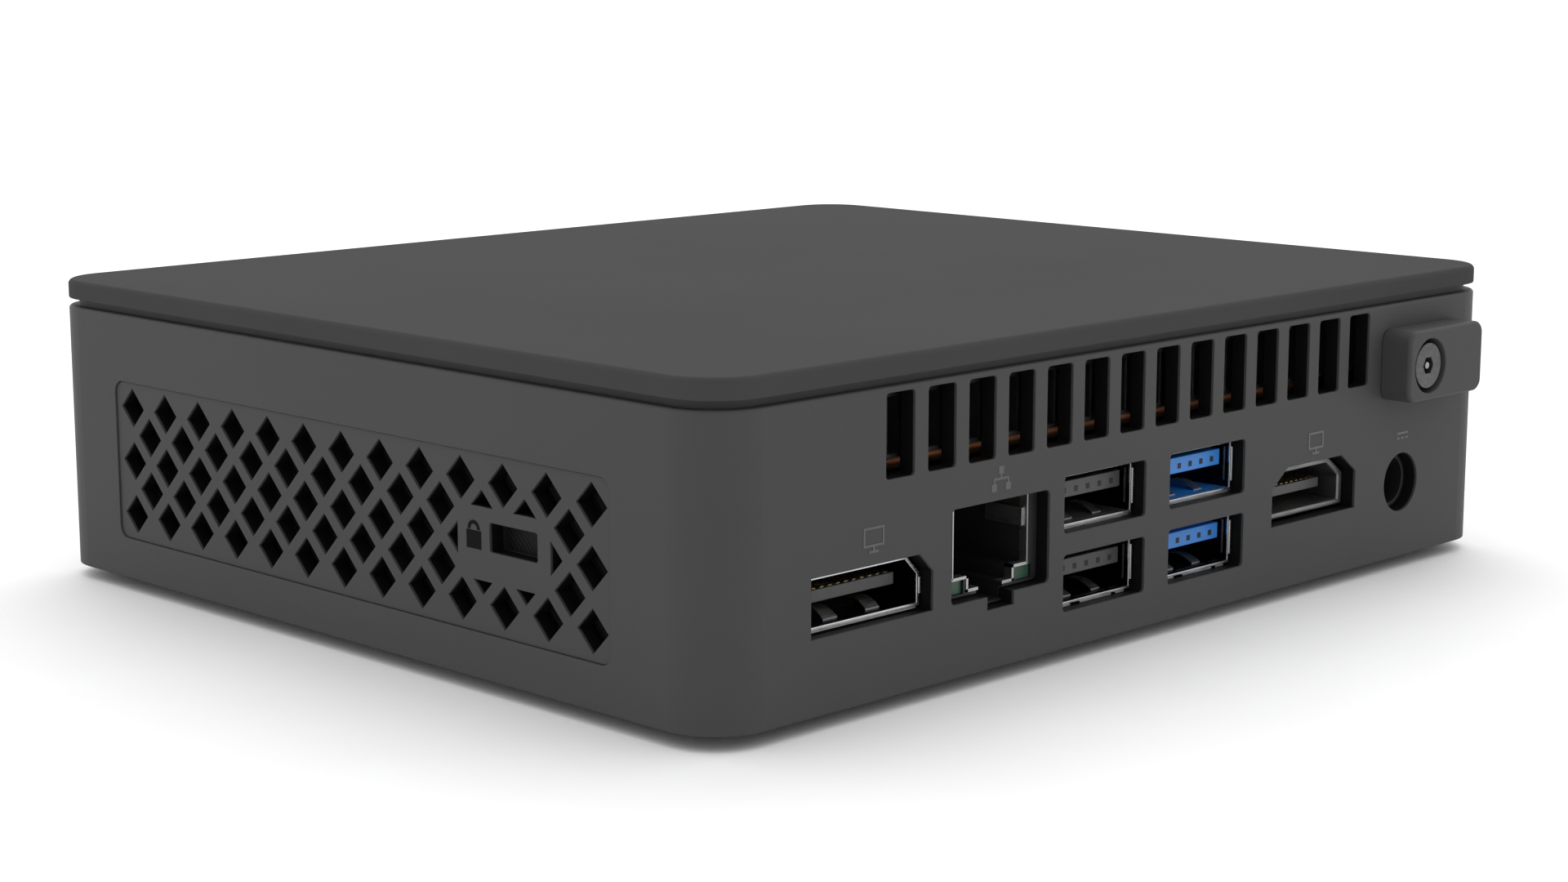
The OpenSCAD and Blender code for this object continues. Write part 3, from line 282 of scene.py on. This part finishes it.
def circuit_board(name, colour, copper):
    """Solder mask over a maze of tracks, with a gloss that follows them."""
    made = Shader(name, Specular_IOR_Level=0.5, Coat_Weight=0.3, Coat_Roughness=0.2)
    cells = made.node("ShaderNodeTexVoronoi", feature="F1", distance="CHEBYCHEV")
    cells.inputs["Scale"].default_value = 420.0
    made.link(made.place, cells.inputs["Vector"])
    tracks = made.node("ShaderNodeTexBrick")
    tracks.inputs["Scale"].default_value = 260.0
    tracks.inputs["Mortar Size"].default_value = 0.06
    tracks.inputs["Color1"].default_value = (*colour, 1.0)
    tracks.inputs["Color2"].default_value = (*shade(colour, 1.35), 1.0)
    tracks.inputs["Mortar"].default_value = (*copper, 1.0)
    made.link(made.place, tracks.inputs["Vector"])
    made.feed("Base Color", tracks.outputs["Color"])
    made.feed("Roughness", made.remap(cells.outputs["Distance"], 0.28, 0.5))
    made.bump(tracks.outputs["Fac"], 0.3, 0.02 * MM)
    return made.material


def light_guide():
    """Milky translucent plastic with a faint glow."""
    made = moulded("light_guide", (0.72, 0.76, 0.8), 0.35, spread=0.04, relief=0.1)
    made.shader.inputs["Subsurface Weight"].default_value = 0.3
    made.shader.inputs["Subsurface Scale"].default_value = 1.0 * MM
    return made.material


MAKERS = {
    "case_plastic": case_plastic,
    "base_plastic": lambda: moulded("base_plastic", (0.021, 0.021, 0.022), 0.6).material,
    "grille_plastic": grille_plastic,
    "rubber": lambda: moulded("rubber", (0.013, 0.013, 0.013), 0.78, 0.15, 2600.0, 0.5, 0.35).material,
    "steel": lambda: port_steel("steel", (0.56, 0.56, 0.57), 0.3),
    "screw_steel": lambda: metal("screw_steel", (0.45, 0.45, 0.47), 0.3, (3000.0,) * 3).material,
    "dark_steel": lambda: metal("dark_steel", (0.1, 0.1, 0.103), 0.5, (3000.0,) * 3).material,
    "socket_black": lambda: moulded("socket_black", (0.012, 0.012, 0.0125), 0.42).material,
    "socket_blue": lambda: moulded("socket_blue", (0.024, 0.205, 0.62), 0.38).material,
    "gold_contact": lambda: metal("gold_contact", (0.9, 0.65, 0.27), 0.22).material,
    "print_grey": lambda: moulded("print_grey", (0.067, 0.067, 0.0675), 0.42, 0.1).material,
    "board_green": lambda: circuit_board("board_green", (0.008, 0.05, 0.032), (0.03, 0.1, 0.06)),
    "card_blue": lambda: circuit_board("card_blue", (0.01, 0.03, 0.07), (0.04, 0.08, 0.13)),
    "light_guide": light_guide,
    "copper": lambda: metal("copper", (0.24, 0.105, 0.055), 0.5, (6000.0, 400.0, 6000.0), 0.25).material,
    "fin_metal": lambda: metal("fin_metal", (0.12, 0.12, 0.122), 0.45).material,
    "fan_plastic": lambda: moulded("fan_plastic", (0.01, 0.01, 0.0105), 0.5).material,
    "chip_black": lambda: moulded("chip_black", (0.016, 0.016, 0.017), 0.5, 0.1, 3000.0).material,
    "silicon": lambda: circuit_board("silicon", (0.015, 0.06, 0.035), (0.3, 0.3, 0.32)),
    "ferrite": lambda: moulded("ferrite", (0.07, 0.07, 0.072), 0.55, 0.15, 1800.0, 0.5).material,
    "antenna_film": lambda: circuit_board("antenna_film", (0.3, 0.19, 0.06), (0.6, 0.36, 0.14)),
}
MATERIALS = {}


def finish(slot):
    """The material of a record's slot, made once."""
    if slot not in MATERIALS:
        MATERIALS[slot] = MAKERS[slot]()
    return MATERIALS[slot]


# ---------- Carried-over CAD nodes ----------

def smooth_faces_group():
    """Geometry nodes that mark every face smooth and leave edges to the normals that follow."""
    group = bpy.data.node_groups.new("smooth_faces", "GeometryNodeTree")
    group.interface.new_socket("Geometry", in_out="INPUT", socket_type="NodeSocketGeometry")
    group.interface.new_socket("Geometry", in_out="OUTPUT", socket_type="NodeSocketGeometry")
    entry = group.nodes.new("NodeGroupInput")
    leave = group.nodes.new("NodeGroupOutput")
    drop = group.nodes.new("GeometryNodeRemoveAttribute")
    drop.inputs["Name"].default_value = "custom_normal"
    smooth = group.nodes.new("GeometryNodeSetShadeSmooth")
    group.links.new(entry.outputs["Geometry"], drop.inputs["Geometry"])
    group.links.new(drop.outputs["Geometry"], smooth.inputs["Geometry"])
    group.links.new(smooth.outputs["Geometry"], leave.inputs["Geometry"])
    return group


SMOOTH_FACES = smooth_faces_group()


def soften(obj, width, segments=2):
    """Gives a node small rounded edges and even shading without touching its own mesh."""
    weld = obj.modifiers.new("join_seams", "WELD")
    weld.merge_threshold = 0.002 * MM
    flat = obj.modifiers.new("join_flats", "DECIMATE")
    flat.decimate_type = "DISSOLVE"
    flat.angle_limit = math.radians(0.5)
    smooth = obj.modifiers.new("smooth_faces", "NODES")
    smooth.node_group = SMOOTH_FACES
    bevel = obj.modifiers.new("round_edges", "BEVEL")
    bevel.width = width
    bevel.segments = segments
    bevel.limit_method = "ANGLE"
    bevel.angle_limit = math.radians(40)
    bevel.use_clamp_overlap = False
    bevel.miter_outer = "MITER_SHARP"
    even = obj.modifiers.new("even_shading", "WEIGHTED_NORMAL")
    even.weight = 50
    even.keep_sharp = False


EDGE_WIDTHS = {
    "lid": 0.12, "retaining_block": 0.15, "power_button": 0.1, "button_light_ring": 0.1,
    "power_jack_housing": 0.12, "usb2_stack_insert": 0.12, "usb3_stack_insert": 0.12,
    "front_usb_inserts": 0.12, "monitor_socket_insert": 0.12, "video_socket_insert": 0.12,
    "monitor_socket_shell": 0.07, "video_socket_shell": 0.25, "usb2_stack_shell": 0.06,
    "usb3_stack_shell": 0.06, "front_usb_shells": 0.06, "retaining_screw": 0.1,
    "base_screws": 0.1,
}


SIGN_R = 1.7 * MM
SIGN_LINE = 0.34 * MM
SIGN_GAP = 0.85 * MM
SIGN_STROKE = 1.9 * MM
SIGN_DEPTH = 0.05 * MM
SIGN_GREY = (0.5, 0.52, 0.55)


def button_finish():
    """The cap's plastic with the usual power sign printed on its face: an open ring and a stroke."""
    made = moulded("button_cap", (0.04, 0.04, 0.041), 0.38, 0.05)
    low, _, mid = span("power_button")
    axes = made.axes()
    across = made.maths("ABSOLUTE", made.maths("SUBTRACT", axes["X"], mid.x))
    up = made.maths("SUBTRACT", axes["Z"], mid.z)
    from_ring = made.maths("ABSOLUTE", made.maths("SUBTRACT", made.length(across, up), SIGN_R))
    on_ring = made.maths("LESS_THAN", from_ring, SIGN_LINE / 2)
    near_middle = made.maths("LESS_THAN", across, SIGN_GAP)
    in_gap = made.maths("MULTIPLY", near_middle, made.maths("GREATER_THAN", up, 0.0))
    ring = made.maths("SUBTRACT", on_ring, in_gap)
    from_middle = made.maths("ABSOLUTE", made.maths("SUBTRACT", up, SIGN_R))
    long_enough = made.maths("LESS_THAN", from_middle, SIGN_STROKE / 2)
    stroke = made.maths("MULTIPLY", made.maths("LESS_THAN", across, SIGN_LINE / 2), long_enough)
    sign = made.maths("MAXIMUM", ring, stroke)
    on_face = made.maths("LESS_THAN", axes["Y"], low.y + SIGN_DEPTH)
    plain = made.shader.inputs["Base Color"].links[0].from_socket
    made.feed("Base Color", made.mix(made.maths("MULTIPLY", sign, on_face), plain, SIGN_GREY))
    return made.material


# Painted light: the sockets' tongues and inserts are a dark grey painted lighter than the socket black,
# for the light that reaches into the sockets.
INSERT_LIT_GREY = moulded("insert_lit_grey", (0.045, 0.045, 0.046), 0.4).material
OWN_FINISHES = {
    "lid": lid_plastic(), "power_button": button_finish(),
    "lock_mark": moulded("lock_print", (0.006, 0.006, 0.006), 0.7, specular=0.05).material,
    "usb2_stack_insert": INSERT_LIT_GREY, "front_usb_inserts": INSERT_LIT_GREY,
    "monitor_socket_insert": INSERT_LIT_GREY, "video_socket_insert": INSERT_LIT_GREY,
    "lock_plate": moulded("lock_plate_black", (0.02, 0.02, 0.02), 0.5).material,
    "video_socket_shell": metal("rim_steel", (0.2, 0.2, 0.203), 0.45).material,
    "power_jack_contacts": metal("contact_tin", (0.62, 0.62, 0.63), 0.3).material,
    "network_jack_lights": moulded("light_pipe", (0.02, 0.07, 0.04), 0.35).material,
}


def finish_cad_nodes():
    for name, obj in NODES.items():
        obj.data.materials.clear()
        obj.data.materials.append(OWN_FINISHES.get(name) or finish(SLOT_OF[name]))
        if name in EDGE_WIDTHS:
            soften(obj, EDGE_WIDTHS[name] * MM)


finish_cad_nodes()


# ---------- Pieces made here ----------

def new_piece(name, build, material, body="chassis", edge=0.0):
    """Makes an object from a function that fills a bmesh, and hangs it on a CAD body."""
    mesh = bpy.data.meshes.new(name)
    shape = bmesh.new()
    build(shape)
    bmesh.ops.recalc_face_normals(shape, faces=shape.faces)
    shape.to_mesh(mesh)
    shape.free()
    piece = bpy.data.objects.new(name, mesh)
    PIECES.objects.link(piece)
    mesh.materials.append(material)
    if edge:
        soften(piece, edge)
    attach(piece, body)


def add_prism(shape, outline, start, end, place):
    """Closed prism: the outline's points (u, v) at two depths, put in space by place(u, v, depth)."""
    rings = [[shape.verts.new(place(u, v, depth)) for u, v in outline] for depth in (start, end)]
    shape.faces.new(rings[0])
    shape.faces.new(list(reversed(rings[1])))
    count = len(outline)
    for i in range(count):
        after = (i + 1) % count
        shape.faces.new((rings[0][after], rings[0][i], rings[1][i], rings[1][after]))


def rectangle(u, v, width, height):
    return [(u - width / 2, v - height / 2), (u + width / 2, v - height / 2),
            (u + width / 2, v + height / 2), (u - width / 2, v + height / 2)]


def circle_points(u, v, radius, count=32):
    turns = [2 * math.pi * i / count for i in range(count)]
    return [(u + radius * math.cos(t), v + radius * math.sin(t)) for t in turns]


def rear_place(u, v, depth):
    """u across, v up and depth into the object, from the plane of the rear sockets' faces."""
    return (u, PORT_FACE_Y - depth, v)


def front_place(u, v, depth):
    """The same from the plane of the front sockets' faces."""
    return (u, FRONT_Y + (REAR_Y - PORT_FACE_Y) + depth, v)


LIP_T = 0.18 * MM
LIP_DEPTH = 1.0 * MM
LIP_FLARE = 0.32 * MM
LIP_PROUD = 0.1 * MM
LEAF_T = 0.12 * MM


def add_sheet(shape, rows, place):
    """Closed bent sheet from rows of two points each: its two faces' rows alternate along its length."""
    verts = [[shape.verts.new(place(*point)) for point in row] for row in rows]
    for near in range(0, len(rows) - 2, 2):
        far = near + 2
        shape.faces.new((verts[near][0], verts[near][1], verts[far][1], verts[far][0]))
        shape.faces.new((verts[near + 1][1], verts[near + 1][0], verts[far + 1][0], verts[far + 1][1]))
        for side in (0, 1):
            shape.faces.new((verts[near][side], verts[far][side],
                             verts[far + 1][side], verts[near + 1][side]))
    shape.faces.new((verts[0][0], verts[1][0], verts[1][1], verts[0][1]))
    shape.faces.new((verts[-2][0], verts[-2][1], verts[-1][1], verts[-1][0]))


def add_lip(shape, start, end, outward, place):
    """Flared steel lip along one side of a socket's mouth, curling away from the mouth."""
    steps = 5
    rows = []
    for i in range(steps + 1):
        part = i / steps
        depth = LIP_DEPTH * (1 - part) - LIP_PROUD
        flare = LIP_FLARE * part ** 2
        for thick in (0.0, LIP_T):
            out = flare + thick
            rows.append([(point[0] + outward[0] * out, point[1] + outward[1] * out, depth)
                         for point in (start, end)])
    add_sheet(shape, rows, place)


def add_leaf(shape, u, v, deep, width, length, rise, place, up=1):
    """Spring leaf on a socket's floor: it slopes up towards the back and curls down at its tip."""
    steps = 8
    rows = []
    for i in range(steps + 1):
        part = i / steps
        height = rise * math.sin(math.pi * min(part * 1.12, 1.0) * 0.62)
        depth = deep + length * part
        for thick in (0.0, LEAF_T):
            rows.append([(u + side * width / 2 * (1 - 0.25 * part), v + up * (height + thick), depth)
                         for side in (-1, 1)])
    add_sheet(shape, rows, place)


LIP_STEEL = metal("lip_steel", (0.42, 0.42, 0.43), 0.36, (900.0, 900.0, 9000.0)).material
# Painted shade: near-black blocks stand in for the shade inside the tongues' contact slots.
SLOT_SHADE_BLACK = moulded("slot_shade_black", (0.004, 0.004, 0.004), 0.6).material

USB_IN_W = 12.5 * MM
USB_IN_H = 5.12 * MM
TONGUE_UP = 0.95 * MM
TONGUE_T = 1.84 * MM
TONGUE_BACK = 0.9 * MM
LIP_BITE = 0.02 * MM
USB_LEAF_X = 2.5 * MM
SLOT_COUNT = 5
SLOT_PITCH = 2.0 * MM
SLOT_SIZE = 0.62 * MM
PAD_COUNT = 4
PAD_PITCH = 2.25 * MM


def usb_port(name, u, v, place, split_lip):
    """Lips, spring leaves and contact slots of one serial-bus socket centred on (u, v)."""
    half_w, half_h = USB_IN_W / 2, USB_IN_H / 2

    def lips(shape):
        for side in (-1, 1):
            edge = u + side * (half_w - LIP_BITE)
            add_lip(shape, (edge, v - 0.72 * half_h), (edge, v + 0.8 * half_h), (side, 0), place)
        top = v + half_h - LIP_BITE
        add_lip(shape, (u - 0.8 * half_w, top), (u + 0.8 * half_w, top), (0, 1), place)
        low = v - half_h + LIP_BITE
        if split_lip:
            parts = ((-0.86, -0.62), (-0.5, 0.36), (0.62, 0.86))
        else:
            parts = ((-0.94, 0.94),)
        for start, end in parts:
            add_lip(shape, (u + start * half_w, low), (u + end * half_w, low), (0, -1), place)

    def leaves(shape):
        for side in (-1, 1):
            add_leaf(shape, u + side * USB_LEAF_X, v - half_h, 1.6 * MM, 1.5 * MM, 3.4 * MM, 0.8 * MM,
                     place)

    # Near-black blocks at the tongue's tip, painted shade for its contact slots.
    def slots(shape):
        for i in range(SLOT_COUNT):
            across = u + (i - (SLOT_COUNT - 1) / 2) * SLOT_PITCH
            outline = rectangle(across, v + TONGUE_UP - 0.1 * MM, SLOT_SIZE, SLOT_SIZE)
            add_prism(shape, outline, TONGUE_BACK - 0.015 * MM, TONGUE_BACK + 0.3 * MM, place)

    def pads(shape):
        for i in range(PAD_COUNT):
            across = u + (i - (PAD_COUNT - 1) / 2) * PAD_PITCH
            outline = rectangle(across, v + TONGUE_UP - TONGUE_T / 2, 1.0 * MM, 0.16 * MM)
            add_prism(shape, outline, TONGUE_BACK + 0.8 * MM, TONGUE_BACK + 7.4 * MM, place)

    new_piece(name + "_lips", lips, LIP_STEEL)
    new_piece(name + "_leaves", leaves, LIP_STEEL)
    new_piece(name + "_contact_slots", slots, SLOT_SHADE_BLACK)
    new_piece(name + "_contacts", pads, finish("gold_contact"))


USB2_X = span("usb2_stack_shell")[2].x
USB3_X = span("usb3_stack_shell")[2].x
USB_TOP_Z = span("usb2_stack_shell")[1].z - 2.86 * MM
USB_PITCH = 8.5 * MM
FRONT_USB_Z = span("front_usb_shells")[2].z
FRONT_USB_XS = (-4.0 * MM, -24.0 * MM)

for stack, stack_x in (("usb2", USB2_X), ("usb3", USB3_X)):
    usb_port(stack + "_upper", stack_x, USB_TOP_Z, rear_place, False)
    usb_port(stack + "_lower", stack_x, USB_TOP_Z - USB_PITCH, rear_place, True)
for number, front_x in enumerate(FRONT_USB_XS):
    usb_port("front_usb_" + str(number + 1), front_x, FRONT_USB_Z, front_place, False)


def monitor_port():
    """Lips, floor leaves and contact rows of the monitor socket."""
    low, high, mid = span("monitor_socket_shell")
    sheet = 0.4 * MM
    left, right = low.x + sheet, high.x - sheet
    floor, roof = low.z + sheet, high.z - sheet
    bevel = 1.75 * MM

    def lips(shape):
        add_lip(shape, (left + 0.2 * MM, floor), (right - 0.2 * MM, floor), (0, -1), rear_place)
        add_lip(shape, (left, floor + 0.9 * MM), (left, roof - bevel - 0.35 * MM), (-1, 0), rear_place)
        add_lip(shape, (left + bevel + 0.4 * MM, roof), (right - 0.4 * MM, roof), (0, 1), rear_place)

    def leaves(shape):
        for side in (-1, 1):
            leaf_x = mid.x + side * 3.05 * MM
            add_leaf(shape, leaf_x, floor, 1.4 * MM, 2.0 * MM, 2.6 * MM, 0.9 * MM, rear_place)
            add_leaf(shape, leaf_x, roof, 1.4 * MM, 2.0 * MM, 2.6 * MM, 0.7 * MM, rear_place, -1)

    def contacts(shape):
        tongue_z = mid.z + 0.35 * MM
        for row in (-1, 1):
            for i in range(10):
                across = mid.x + (i - 4.5) * 1.15 * MM
                outline = rectangle(across, tongue_z + row * 0.65 * MM, 0.5 * MM, 0.12 * MM)
                add_prism(shape, outline, 1.6 * MM, 7.6 * MM, rear_place)

    new_piece("monitor_socket_lips", lips, LIP_STEEL)
    new_piece("monitor_socket_leaves", leaves, LIP_STEEL)
    new_piece("monitor_socket_contacts", contacts, finish("gold_contact"))


def network_port():
    """Steel trim round the lower steps of the network jack and the shield's spring tab."""
    mid_x = span("network_jack_housing")[2].x
    step_points = ((5.85, 11.45), (3.6, 11.45), (3.6, 10.0), (2.05, 10.0))
    trim_t = 0.32 * MM
    trim_deep = 0.9 * MM
    trim_proud = 0.12 * MM
    edge_x, edge_t = 5.87 * MM, 0.16 * MM
    edge_low, edge_high = 11.45 * MM, 18.8 * MM
    tab_out, tab_in = 5.84 * MM, 5.5 * MM
    tab_low, tab_high = 15.4 * MM, 17.3 * MM

    def trim(shape):
        for side in (-1, 1):
            points = [(mid_x + side * x * MM, z * MM) for x, z in step_points]
            for (u0, v0), (u1, v1) in zip(points, points[1:]):
                width = abs(u1 - u0) + trim_t
                height = abs(v1 - v0) + trim_t
                outline = rectangle((u0 + u1) / 2, (v0 + v1) / 2, width, height)
                add_prism(shape, outline, -trim_proud, trim_deep, rear_place)
            outline = rectangle(mid_x + side * edge_x, (edge_low + edge_high) / 2, edge_t,
                                edge_high - edge_low)
            add_prism(shape, outline, -trim_proud, trim_deep, rear_place)

    def spring(shape):
        for side in (-1, 1):
            outer, inner = mid_x + side * tab_out, mid_x + side * tab_in
            outline = [(outer, tab_low), (inner, tab_low), (inner, tab_high), (outer, tab_high)]
            add_prism(shape, outline, 0.4 * MM, 5.4 * MM, rear_place)

    new_piece("network_jack_trim", trim, LIP_STEEL)
    new_piece("network_jack_springs", spring, LIP_STEEL)


def video_port():
    """Contact rows on the video socket's tongue."""
    mid = span("video_socket_shell")[2]

    def contacts(shape):
        for row, count in ((-1, 9), (1, 10)):
            for i in range(count):
                across = mid.x + (i - (count - 1) / 2) * 1.0 * MM
                outline = rectangle(across, mid.z - 0.2 * MM + row * 0.6 * MM, 0.45 * MM, 0.12 * MM)
                add_prism(shape, outline, 2.0 * MM, 7.8 * MM, rear_place)

    new_piece("video_socket_contacts", contacts, finish("gold_contact"))


def security_pin():
    """Pin in the middle of the retaining screw's recess."""
    _, high, mid = span("retaining_screw")

    def from_head(u, v, depth):
        return (u, high.y - depth, v)

    def pin(shape):
        add_prism(shape, circle_points(mid.x, mid.z, 0.42 * MM), 0.15 * MM, 1.3 * MM, from_head)

    pin_metal = metal("pin_metal", (0.3, 0.3, 0.3), 0.45, (3000.0,) * 3).material
    new_piece("retaining_screw_pin", pin, pin_metal, edge=0.06 * MM)


def dust_screens():
    """Fine black gauze behind each side grille."""
    low, _, mid = span("grille_right")
    screen_w, screen_h = 86.0 * MM, 18.0 * MM
    screen_z = SHELL_MID.z - 1.95 * MM
    gauze = Shader("gauze", Specular_IOR_Level=0.3, Roughness=0.7)
    weave = gauze.node("ShaderNodeTexWave", wave_type="BANDS", bands_direction="DIAGONAL")
    weave.inputs["Scale"].default_value = 900.0
    gauze.link(gauze.place, weave.inputs["Vector"])
    gauze.feed("Base Color", gauze.ramp(weave.outputs["Fac"], [(0.2, (0.002, 0.002, 0.002)),
                                                             (0.8, (0.011, 0.011, 0.011))]))
    gauze.bump(weave.outputs["Fac"], 0.5, 0.05 * MM)
    for name, side in (("dust_screen_right", 1), ("dust_screen_left", -1)):
        def sheet(shape):
            outline = rectangle(mid.y, screen_z, screen_w, screen_h)
            add_prism(shape, outline, low.x + 0.05 * MM, low.x + 0.35 * MM,
                      lambda u, v, depth: (side * depth, u, v))
        new_piece(name, sheet, gauze.material)


monitor_port()
network_port()
video_port()
security_pin()
dust_screens()


# ---------- Floor, light and camera ----------

FLOOR_HALF = 30.0


def make_floor():
    """A plain pale floor that reaches past the camera's view."""
    mesh = bpy.data.meshes.new("floor")
    corners = [(x * FLOOR_HALF, y * FLOOR_HALF, 0) for x, y in ((-1, -1), (1, -1), (1, 1), (-1, 1))]
    mesh.from_pydata(corners, [], [(0, 1, 2, 3)])
    floor = bpy.data.objects.new("floor", mesh)
    PIECES.objects.link(floor)
    made = moulded("floor_paper", (0.92, 0.92, 0.92), 0.9, spread=0.01, grain=900.0, relief=0.05)
    mesh.materials.append(made.material)


def make_area_light(name, place, target, size, power):
    light = bpy.data.lights.new(name, "AREA")
    light.shape = "RECTANGLE"
    light.size, light.size_y = size
    light.energy = power
    obj = bpy.data.objects.new(name, light)
    PIECES.objects.link(obj)
    obj.location = place
    obj.rotation_mode = "QUATERNION"
    obj.rotation_quaternion = (Vector(target) - Vector(place)).to_track_quat("-Z", "Y")


SKY_NEAR = 0.6
SKY_FAR = 1.8
BRIGHT_SIDE = (-0.7, -0.7, 0.1)
SOFTBOX_PLACE = (-0.2, -0.2, 0.9)
SOFTBOX_SIZE = (0.8, 0.8)
SOFTBOX_POWER = 1.0


def make_lights():
    """A white sky, brighter behind the object than on the camera's side, and a weak softbox above."""
    world = bpy.data.worlds.new("studio")
    bpy.context.scene.world = world
    world.use_nodes = True
    nodes, links = world.node_tree.nodes, world.node_tree.links
    sky = nodes["Background"]
    sky.inputs["Color"].default_value = (1.0, 1.0, 1.0, 1.0)
    direction = nodes.new("ShaderNodeTexCoord")
    towards = nodes.new("ShaderNodeVectorMath")
    towards.operation = "DOT_PRODUCT"
    towards.inputs[1].default_value = BRIGHT_SIDE
    strength = nodes.new("ShaderNodeMapRange")
    strength.inputs["From Min"].default_value = -1.0
    strength.inputs["From Max"].default_value = 1.0
    strength.inputs["To Min"].default_value = SKY_NEAR
    strength.inputs["To Max"].default_value = SKY_FAR
    links.new(direction.outputs["Generated"], towards.inputs[0])
    links.new(towards.outputs["Value"], strength.inputs["Value"])
    links.new(strength.outputs["Result"], sky.inputs["Strength"])
    make_area_light("top_softbox", SOFTBOX_PLACE, (0, 0, 0.0), SOFTBOX_SIZE, SOFTBOX_POWER)


CAMERA_AZIMUTH = 134.79
CAMERA_ELEVATION = 10.16
CAMERA_DISTANCE = 0.34846
CAMERA_LENS = 65.11
CAMERA_AIM = (1.46 * MM, 1.11 * MM, 15.06 * MM)
SENSOR_W = 36.0


def make_camera():
    azimuth = math.radians(CAMERA_AZIMUTH)
    elevation = math.radians(CAMERA_ELEVATION)
    back = Vector((math.sin(azimuth) * math.cos(elevation),
                   -math.cos(azimuth) * math.cos(elevation), math.sin(elevation)))
    target = Vector((SHELL_MID.x + CAMERA_AIM[0], SHELL_MID.y + CAMERA_AIM[1], CAMERA_AIM[2]))
    data = bpy.data.cameras.new("camera")
    data.lens = CAMERA_LENS
    data.sensor_width = SENSOR_W
    camera = bpy.data.objects.new("camera", data)
    PIECES.objects.link(camera)
    camera.location = target + back * CAMERA_DISTANCE
    camera.rotation_mode = "QUATERNION"
    camera.rotation_quaternion = (-back).to_track_quat("-Z", "Y")
    data.clip_start, data.clip_end = 0.01, 20.0
    bpy.context.scene.camera = camera


make_floor()
make_lights()
make_camera()
bpy.context.scene.view_settings.view_transform = "Standard"
